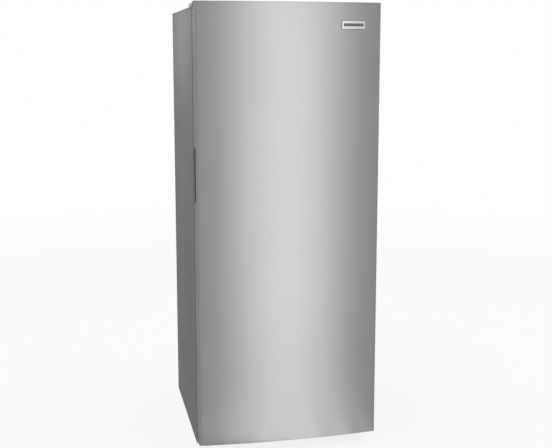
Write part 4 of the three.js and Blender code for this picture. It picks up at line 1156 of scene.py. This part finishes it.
switch_low, switch_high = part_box("light_switch_plunger")
switch = middle_of("light_switch_plunger")
switch_tip = (switch_high.y - switch_low.y) / mm
plunger = turned(((0, 0), (4.5, 0), (4.5, switch_tip - 3.5), (4.2, switch_tip - 1.8),
                  (3.2, switch_tip - 0.6), (1.6, switch_tip - 0.1), (0, switch_tip)),
                 (switch.x, switch_high.y, switch.z), (0, -1, 0))
finish_piece(plunger, "lamp_switch", white_moulding, "plunger", "light_switch_plunger")
collar = turned(((4.8, 0), (9, 0), (9, 0.15), (8.6, 0.28), (5, 0.28), (4.8, 0)),
                (switch.x, shell_low.y, switch.z), (0, -1, 0), 28)
finish_piece(collar, "lamp_switch_collar", white_moulding, "cabinet")

# ---- Door lining ----
# The white formed panel inside the door. A raised dyke runs round it inside the gasket, and eight
# lugs on the dyke hold the bins.
lining_low, lining_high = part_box("door_liner")
lining_face = lining_low.y + 2 * mm
lining_wall = 1.8 * mm
dyke_side = 280 * mm
dyke_low = 124.5 * mm
dyke_high = 1653 * mm
dyke_wide = 18 * mm
dyke_inner = dyke_side - dyke_wide
dyke_crest = 5 * mm
dyke_corner = 1.8 * mm
hinge_corner = (326.3 * mm, 1725 * mm)
lug_reach = 4 * mm
lug_round = 1.5 * mm

lining = flat_sheet(lining_low, (lining_high.x, lining_face, lining_high.z), (0, 1, 0))
outer = {0: (-dyke_side, dyke_side), 2: (dyke_low, dyke_high)}
inner = {0: (-dyke_inner, dyke_inner), 2: (dyke_low + dyke_wide, dyke_high - dyke_wide)}
for axis in (0, 2):
    slice_faces(lining, every_face, axis, outer[axis] + inner[axis])
ring = [f for f in lining.faces if inside(f, outer) and not inside(f, inner)]
draw_out(lining, ring, (0, lining_high.y - lining_face, 0))
cut_window(lining, in_plane(1, lining_face), {0: (hinge_corner[0], lining_high.x + 1 * mm),
                                              2: (hinge_corner[1], lining_high.z + 1 * mm)})
make_whole(lining)
lining.normal_update()
round_off(lining, [e for e in lining.edges if e.calc_face_angle(0) > radians(60)
                   and all(abs(v.co.y - lining_high.y) < 1e-5 for v in e.verts)], dyke_crest, 5)
lining.normal_update()
round_off(lining, [e for e in lining.edges if e.calc_face_angle(0) > radians(60)
                   and abs(e.verts[0].co.y - e.verts[1].co.y) > 20 * mm], dyke_corner, 3)
face_outward(lining, (0, 1, 0))
finish_piece(lining, "door_lining", white_moulding, "door", "door_liner",
             sheet=lining_wall)

bin_boxes = [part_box(f"door_bin_{number}") for number in (1, 2, 3, 4)]
lugs = bmesh.new()
for low, high in bin_boxes:
    for side in (-1, 1):
        near, far = sorted((side * (dyke_inner + 1 * mm), side * (dyke_inner - lug_reach)))
        add_block(lugs, (near, lining_face + 7 * mm, low.z + 40 * mm),
                  (far, lining_face + 30 * mm, low.z + 52 * mm), lug_round, face=(-side, 0, 0))
finish_piece(lugs, "bin_lugs", white_moulding, "door")

# ---- Gasket ----
# A soft grey extrusion welded at its four corners: a foot held in the door, a folding bellows and
# a bulb with a magnetic strip, which seals on the cabinet's front.
seal_low, seal_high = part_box("door_gasket")
seal_rubber = moulded_plastic("seal_rubber", (0.20, 0.20, 0.205), (0.24, 0.24, 0.245), 0.62,
                              pitch=900.0, relief=0.1)
# The section: insets from the seal's outline, and how far each point lies off the sealed face.
seal_section = ((2.0, -11.1), (0.8, -9.0), (2.4, -7.4), (0.4, -5.8), (0, -4.6), (0, -0.9),
                (0.9, 0), (11, 0), (12.2, -0.9), (12.4, -3.4), (14.0, -5.0), (17.6, -5.4),
                (21.2, -6.6), (22, -8.2), (21.0, -9.6), (18.4, -11.1))
seal = bmesh.new()
rings = []
for inset, depth in seal_section:
    left, right = seal_low.x + inset * mm, seal_high.x - inset * mm
    bottom, top = seal_low.z + inset * mm, seal_high.z - inset * mm
    loop = [seal.verts.new((x, seal_high.y + depth * mm, z)) for x, z in (
        (left, bottom), (right, bottom), (right, top), (left, top))]
    rings.append([seal.edges.new((loop[k], loop[k - 1])) for k in range(4)])
for k in range(len(rings)):
    bmesh.ops.bridge_loops(seal, edges=rings[k] + rings[k - 1])
bmesh.ops.recalc_face_normals(seal, faces=seal.faces[:])
finish_piece(seal, "magnetic_seal", seal_rubber, "door", "door_gasket", sharp=40)

# ---- Door bins ----
# Four clear moulded bins that lift off the lugs. Each has a heavier front lip and low ribs inside
# its front.
bin_ribs = 9
bin_rib_pitch = 56 * mm
clear_plastic = clear_moulding("clear_plastic", (0.985, 0.99, 0.99), 0.04)
for number, (low, high) in enumerate(bin_boxes, 1):
    door_bin = traced(f"door_bin_{number}")
    for k in range(bin_ribs):
        x = (k - bin_ribs // 2) * bin_rib_pitch
        add_block(door_bin, (x - 1 * mm, high.y - 3.7 * mm, low.z + 36 * mm),
                  (x + 1 * mm, high.y - 2.2 * mm, high.z - 14 * mm))
    add_block(door_bin, (low.x + 3 * mm, high.y - 4.2 * mm, high.z - 7 * mm),
              (high.x - 3 * mm, high.y - 2.3 * mm, high.z - 1 * mm))
    finish_piece(door_bin, f"clear_bin_{number}", clear_plastic, f"door_bin_{number}",
                 f"door_bin_{number}", edge=0.6 * mm)

# ---- Evaporator ----
# The cold coil behind its cover: one aluminium tube bent to and fro through thin fins, a sheathed
# defrost heater below it, and a fan that pushes the cold air out.
coil_low, coil_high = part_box("evaporator_coil")
coil_tube = 4 * mm
coil_reach = 215 * mm
coil_rows = [(400 + k * 34) * mm for k in range(5)]
coil_columns = (261.7 * mm, 289.7 * mm)
fin_count = 77
fin_pitch = 5 * mm
fin_thick = 0.25 * mm
aluminium = brushed_metal("aluminium", (0.66, 0.66, 0.67), (0.74, 0.74, 0.75), 0.4, pitch=500.0,
                          relief=0.06)


def to_and_fro(columns, rows, ends, place, steps=8):
    """One tube along the rows of two columns, there and back, with half-round bends at its ends.

    A reach along the tube and the column and row of a pass are turned into a point by place."""
    passes = [(columns[0], z) for z in rows] + [(columns[1], z) for z in rows[::-1]]
    run = []
    for k, here in enumerate(passes):
        start, end = ends if k % 2 == 0 else ends[::-1]
        run += [place(start, *here), place(end, *here)]
        if k + 1 == len(passes):
            break
        onward = passes[k + 1]
        bend = hypot(onward[0] - here[0], onward[1] - here[1]) / 2
        way = 1 if end > start else -1
        for step in range(1, steps):
            angle = step / steps * pi
            share = (1 - cos(angle)) / 2
            between = [a + (b - a) * share for a, b in zip(here, onward)]
            run.append(place(end + way * bend * sin(angle), *between))
    return run


coil = wires([(to_and_fro(coil_columns, coil_rows, (coil_reach, -coil_reach),
                          lambda reach, column, row: (reach, column, row)), coil_tube)])
for k in range(fin_count):
    x = (k - fin_count // 2) * fin_pitch
    short = (0, 0) if k % 4 == 0 else (5 * mm, 4 * mm)
    add_block(coil, (x - fin_thick / 2, coil_low.y, coil_low.z + 1 * mm + short[0]),
              (x + fin_thick / 2, coil_high.y, coil_high.z - 1 * mm - short[1]))
finish_piece(coil, "finned_coil", aluminium, "cabinet", "evaporator_coil",
             sharp=50)

sheath_finish = sprayed_paint("heater_sheath", (0.10, 0.085, 0.07), (0.16, 0.14, 0.12), 0.45,
                              metallic=0.8)
heater = turned(((0, -200), (1.2, -200), (1.2, -196), (3.9, -195.4), (4, -194), (4, -178),
                 (3.2, -177.4), (3.2, 177.4), (4, 178), (4, 194), (3.9, 195.4), (1.2, 196),
                 (1.2, 200), (0, 200)), middle_of("defrost_heater"), (1, 0, 0), 20)
finish_piece(heater, "sheathed_heater", sheath_finish, "cabinet", "defrost_heater")

for node, name, finish, slot, body in (
        ("evaporator_fan_motor", "coil_fan_motor", white_moulding, "white_plastic", "cabinet"),
        ("evaporator_fan_blade", "coil_fan", white_moulding, "white_plastic", "evaporator_fan"),
        ("condenser_fan_blade", "machine_fan", black_moulding, "black_plastic",
         "condenser_fan")):
    finish_traced(node, name, finish, body, 0.5 * mm)

# ---- Machine bulkhead and tray ----
# Zinc-coated sheets that wall off the machine compartment. The tray lies across its floor, and
# rubber grommets on it carry the compressor.
tray_low, tray_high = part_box("compressor_tray")
tray_top = 51.8 * mm
tray_side = (60 * mm, 320 * mm)
tray_rows = ((150 * mm, 250 * mm), (262 * mm, 356 * mm))
pump_low, pump_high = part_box("compressor")
pump = middle_of("compressor")
pump_feet = [(pump.x + u * 100 * mm, pump.y + v * 58 * mm) for u in (-1, 1) for v in (-1, 1)]
grommet_outline = ((0, 0), (9, 0), (9, 3), (7.4, 4.5), (7.4, 6.5), (8.8, 8), (8.8, 11),
                   (7.6, 12.6), (7.6, 14), (0, 14))
finish_traced("machine_bulkhead", "machine_wall", galvanised)
tray = block_between(tray_low, (tray_high.x, tray_high.y, tray_top))
press_fields(tray, in_plane(2, tray_top), tray_side, 1, tray_rows, 4 * mm, 0.8 * mm)
finish_piece(tray, "machine_tray", galvanised, "cabinet", "compressor_tray")
grommets = bmesh.new()
for place in pump_feet:
    take_in(grommets, turned(grommet_outline, (*place, tray_top)))
finish_piece(grommets, "rubber_grommets", seal_rubber, "cabinet")

# ---- Compressor ----
# A hermetic compressor in black baked paint: two deep-drawn shells welded at a flange, a pressed
# foot plate bolted through the grommets, and two pipe stubs. A relay box clips on its side.
pump_outline = ((0, 0), (44, 0), (55, 2.5), (63, 8), (68, 17), (70.6, 30), (71.8, 48), (72, 61.4),
                (73, 63), (74.4, 63.6), (75, 65), (75, 69), (74.4, 70.4), (73, 71), (72, 72.6),
                (71.6, 84), (70.6, 98), (68, 112), (63, 125), (54, 136), (42, 143), (28, 147.4),
                (14, 149.4), (0, 150))
pump_base = pump_low.z + 2 * mm
pump_stretch = 1.2
foot_top = pump_low.z + 3 * mm
foot_half = 70 * mm
foot_corner = 16 * mm
stub_side = 46 * mm
stub_low = pump_base + 118 * mm
stub_tip = (pump_high.z - stub_low) / mm
black_enamel = sprayed_paint("black_enamel", (0.014, 0.014, 0.015), (0.022, 0.022, 0.023), 0.34,
                             pitch=300.0, relief=0.35)
compressor = turned(pump_outline, (pump.x, pump.y, pump_base), steps=56, stretch=pump_stretch)
add_block(compressor, (pump_low.x, pump.y - foot_half, pump_low.z),
          (pump_high.x, pump.y + foot_half, foot_top), foot_corner, 6, along=2)
for side in (-1, 1):
    take_in(compressor, turned(((0, 0), (6, 0), (6, stub_tip - 3), (5.2, stub_tip - 1),
                                (4.9, stub_tip), (0, stub_tip)),
                               (pump.x + side * stub_side, pump.y, stub_low), steps=20))
set_screws(compressor, [(*place, foot_top) for place in pump_feet], (0, 0, 1), 8, 5, 1)
finish_piece(compressor, "hermetic_compressor", black_enamel, "cabinet", "compressor",
             sharp=50, more=[bright_zinc])

relay_low, relay_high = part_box("relay_box")
relay_step = 9 * mm
relay = block_between(relay_low, relay_high)
slice_faces(relay, looking((1, 0, 0)), 2, (relay_low.z + relay_step, relay_high.z - relay_step))
bmesh.ops.inset_individual(relay, faces=looking((1, 0, 0))(relay), thickness=2.5 * mm,
                           depth=-1.2 * mm)
finish_piece(relay, "relay_cover", black_moulding, "cabinet", "relay_box",
             edge=1.4 * mm, edge_steps=3)

# ---- Condenser ----
# The warm coil: a painted steel tube bent to and fro in two columns, with fine steel wires welded
# across both sides of each, and two plates that hold it up.
warm_low, warm_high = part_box("condenser_coil")
warm_columns = (-240 * mm, -280 * mm)
warm_top = 240 * mm
warm_rows = [warm_top - k * 26 * mm for k in range(7)]
warm_ends = (162 * mm, 344 * mm)
drier_x = warm_columns[1] - 50 * mm
outlet_y = warm_ends[0] - 12 * mm
cross_wire = 0.8 * mm
cross_pitch = 6 * mm
cross_over = 8 * mm
holder_side = 18 * mm
holder_thick = 1.5 * mm
warm_run = to_and_fro(warm_columns, warm_rows, warm_ends,
                      lambda reach, column, row: (column, reach, row))
warm_run += bent([warm_run[-1], (warm_columns[1], outlet_y, warm_top),
                  (drier_x, outlet_y, warm_top), (drier_x, outlet_y, warm_top - 16 * mm)],
                 7 * mm)[1:]
runs = [(warm_run, coil_tube)]
for column in warm_columns:
    for side in (-1, 1):
        x = column + side * (coil_tube + 0.6 * mm)
        for k in range(24):
            y = warm_ends[0] + 20 * mm + k * cross_pitch
            runs.append(([(x, y, warm_rows[-1] - cross_over), (x, y, warm_top + cross_over)],
                         cross_wire))
condenser = wires(runs, 2)
for y in (warm_ends[0] + 12 * mm, warm_ends[1] - 14 * mm):
    add_block(condenser, (warm_columns[1] - holder_side, y, warm_low.z),
              (warm_columns[0] + holder_side, y + holder_thick, warm_high.z), 5 * mm, 4, along=1)
finish_piece(condenser, "wire_condenser", black_enamel, "cabinet", "condenser_coil",
             sharp=50)

# ---- Condenser fan ----
# A zinc-coated board with a round opening and a bar, and a small black motor on the bar. The
# blades turn in the opening and draw the room's air over the warm coil.
finish_traced("condenser_fan_shroud", "fan_board", galvanised, edge=0.4 * mm)
motor_middle = middle_of("condenser_fan_motor")
motor_front = -56.7 * mm
motor_end = (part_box("condenser_fan_motor")[1].x - motor_front) / mm
motor = turned(((0, -29.3), (3.4, -29.3), (4, -28.6), (4, 0), (24, 0), (26.4, 0.8), (27, 2.4),
                (27, 14), (25.6, 14.6), (25.6, 20), (27, 20.6), (27, motor_end - 3),
                (26, motor_end - 1), (22, motor_end), (8, motor_end), (7, motor_end - 1.5),
                (0, motor_end - 1.5)),
               (motor_front, motor_middle.y, motor_middle.z), (1, 0, 0), 36)
finish_piece(motor, "fan_motor", black_enamel, "cabinet", "condenser_fan_motor")

# ---- Copper lines ----
# Drawn copper tube, bent by hand: the hot line from the compressor to the condenser, the cold line
# back from the coil, and the spun filter drier at the condenser's end.
copper = brushed_metal("copper", (0.62, 0.30, 0.19), (0.74, 0.39, 0.26), 0.3, pitch=300.0,
                       relief=0.05)
line_start = pump_high.z + seat_gap
cold_x, hot_x = pump.x + stub_side, pump.x - stub_side
cold_z, hot_z, hot_y = 400 * mm, 256 * mm, 146 * mm
for node, name, corners, bend in (
        ("suction_line", "cold_line", (
            (cold_x, pump.y, line_start), (cold_x, pump.y, cold_z),
            (215.3 * mm, pump.y, cold_z)), 16 * mm),
        ("discharge_line", "hot_line", (
            (hot_x, pump.y, line_start), (hot_x, pump.y, hot_z), (hot_x, hot_y, hot_z),
            (warm_columns[0], hot_y, hot_z), (warm_columns[0], hot_y, warm_top),
            (warm_columns[0], warm_ends[0] - seat_gap, warm_top)), 7 * mm)):
    finish_piece(wires([(bent(corners, bend), coil_tube)], 4), name, copper, "cabinet", node,
                 sharp=60)
drier_place = middle_of("filter_drier")
drier_place.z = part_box("filter_drier")[0].z
drier = turned(((0, 0), (4, 0), (4, 7), (5, 9.5), (8.6, 14), (10, 18), (10, 30), (9.3, 31),
                (9.3, 33), (10, 34), (10, 72), (9.3, 73), (9.3, 75), (10, 76), (10, 84),
                (8.6, 88), (5, 92.5), (4, 95), (4, 102), (0, 102)), drier_place, steps=32)
finish_piece(drier, "spun_drier", copper, "cabinet", "filter_drier")

# ---- Drain ----
# Meltwater runs from the step of the liner down a grey rubber tube to a black plastic pan, where
# the condenser's warmth dries it.
finish_traced("drain_pan", "drain_tray", black_moulding, edge=0.9 * mm)
tube_low, tube_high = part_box("drain_tube")
tube_place = middle_of("drain_tube")
tube_place.z = tube_low.z
tube_tip = (tube_high.z - tube_low.z) / mm
drain = turned(((6, 0), (7, 0), (8, 1), (8, 30), (7.3, 31), (8, 32), (7.3, 33), (8, 34),
                (8, tube_tip - 2), (12, tube_tip - 2), (13, tube_tip - 1.2), (12.4, tube_tip),
                (7, tube_tip), (6, tube_tip - 1.2), (6, 0)), tube_place, steps=28)
finish_piece(drain, "rubber_drain", seal_rubber, "cabinet", "drain_tube")
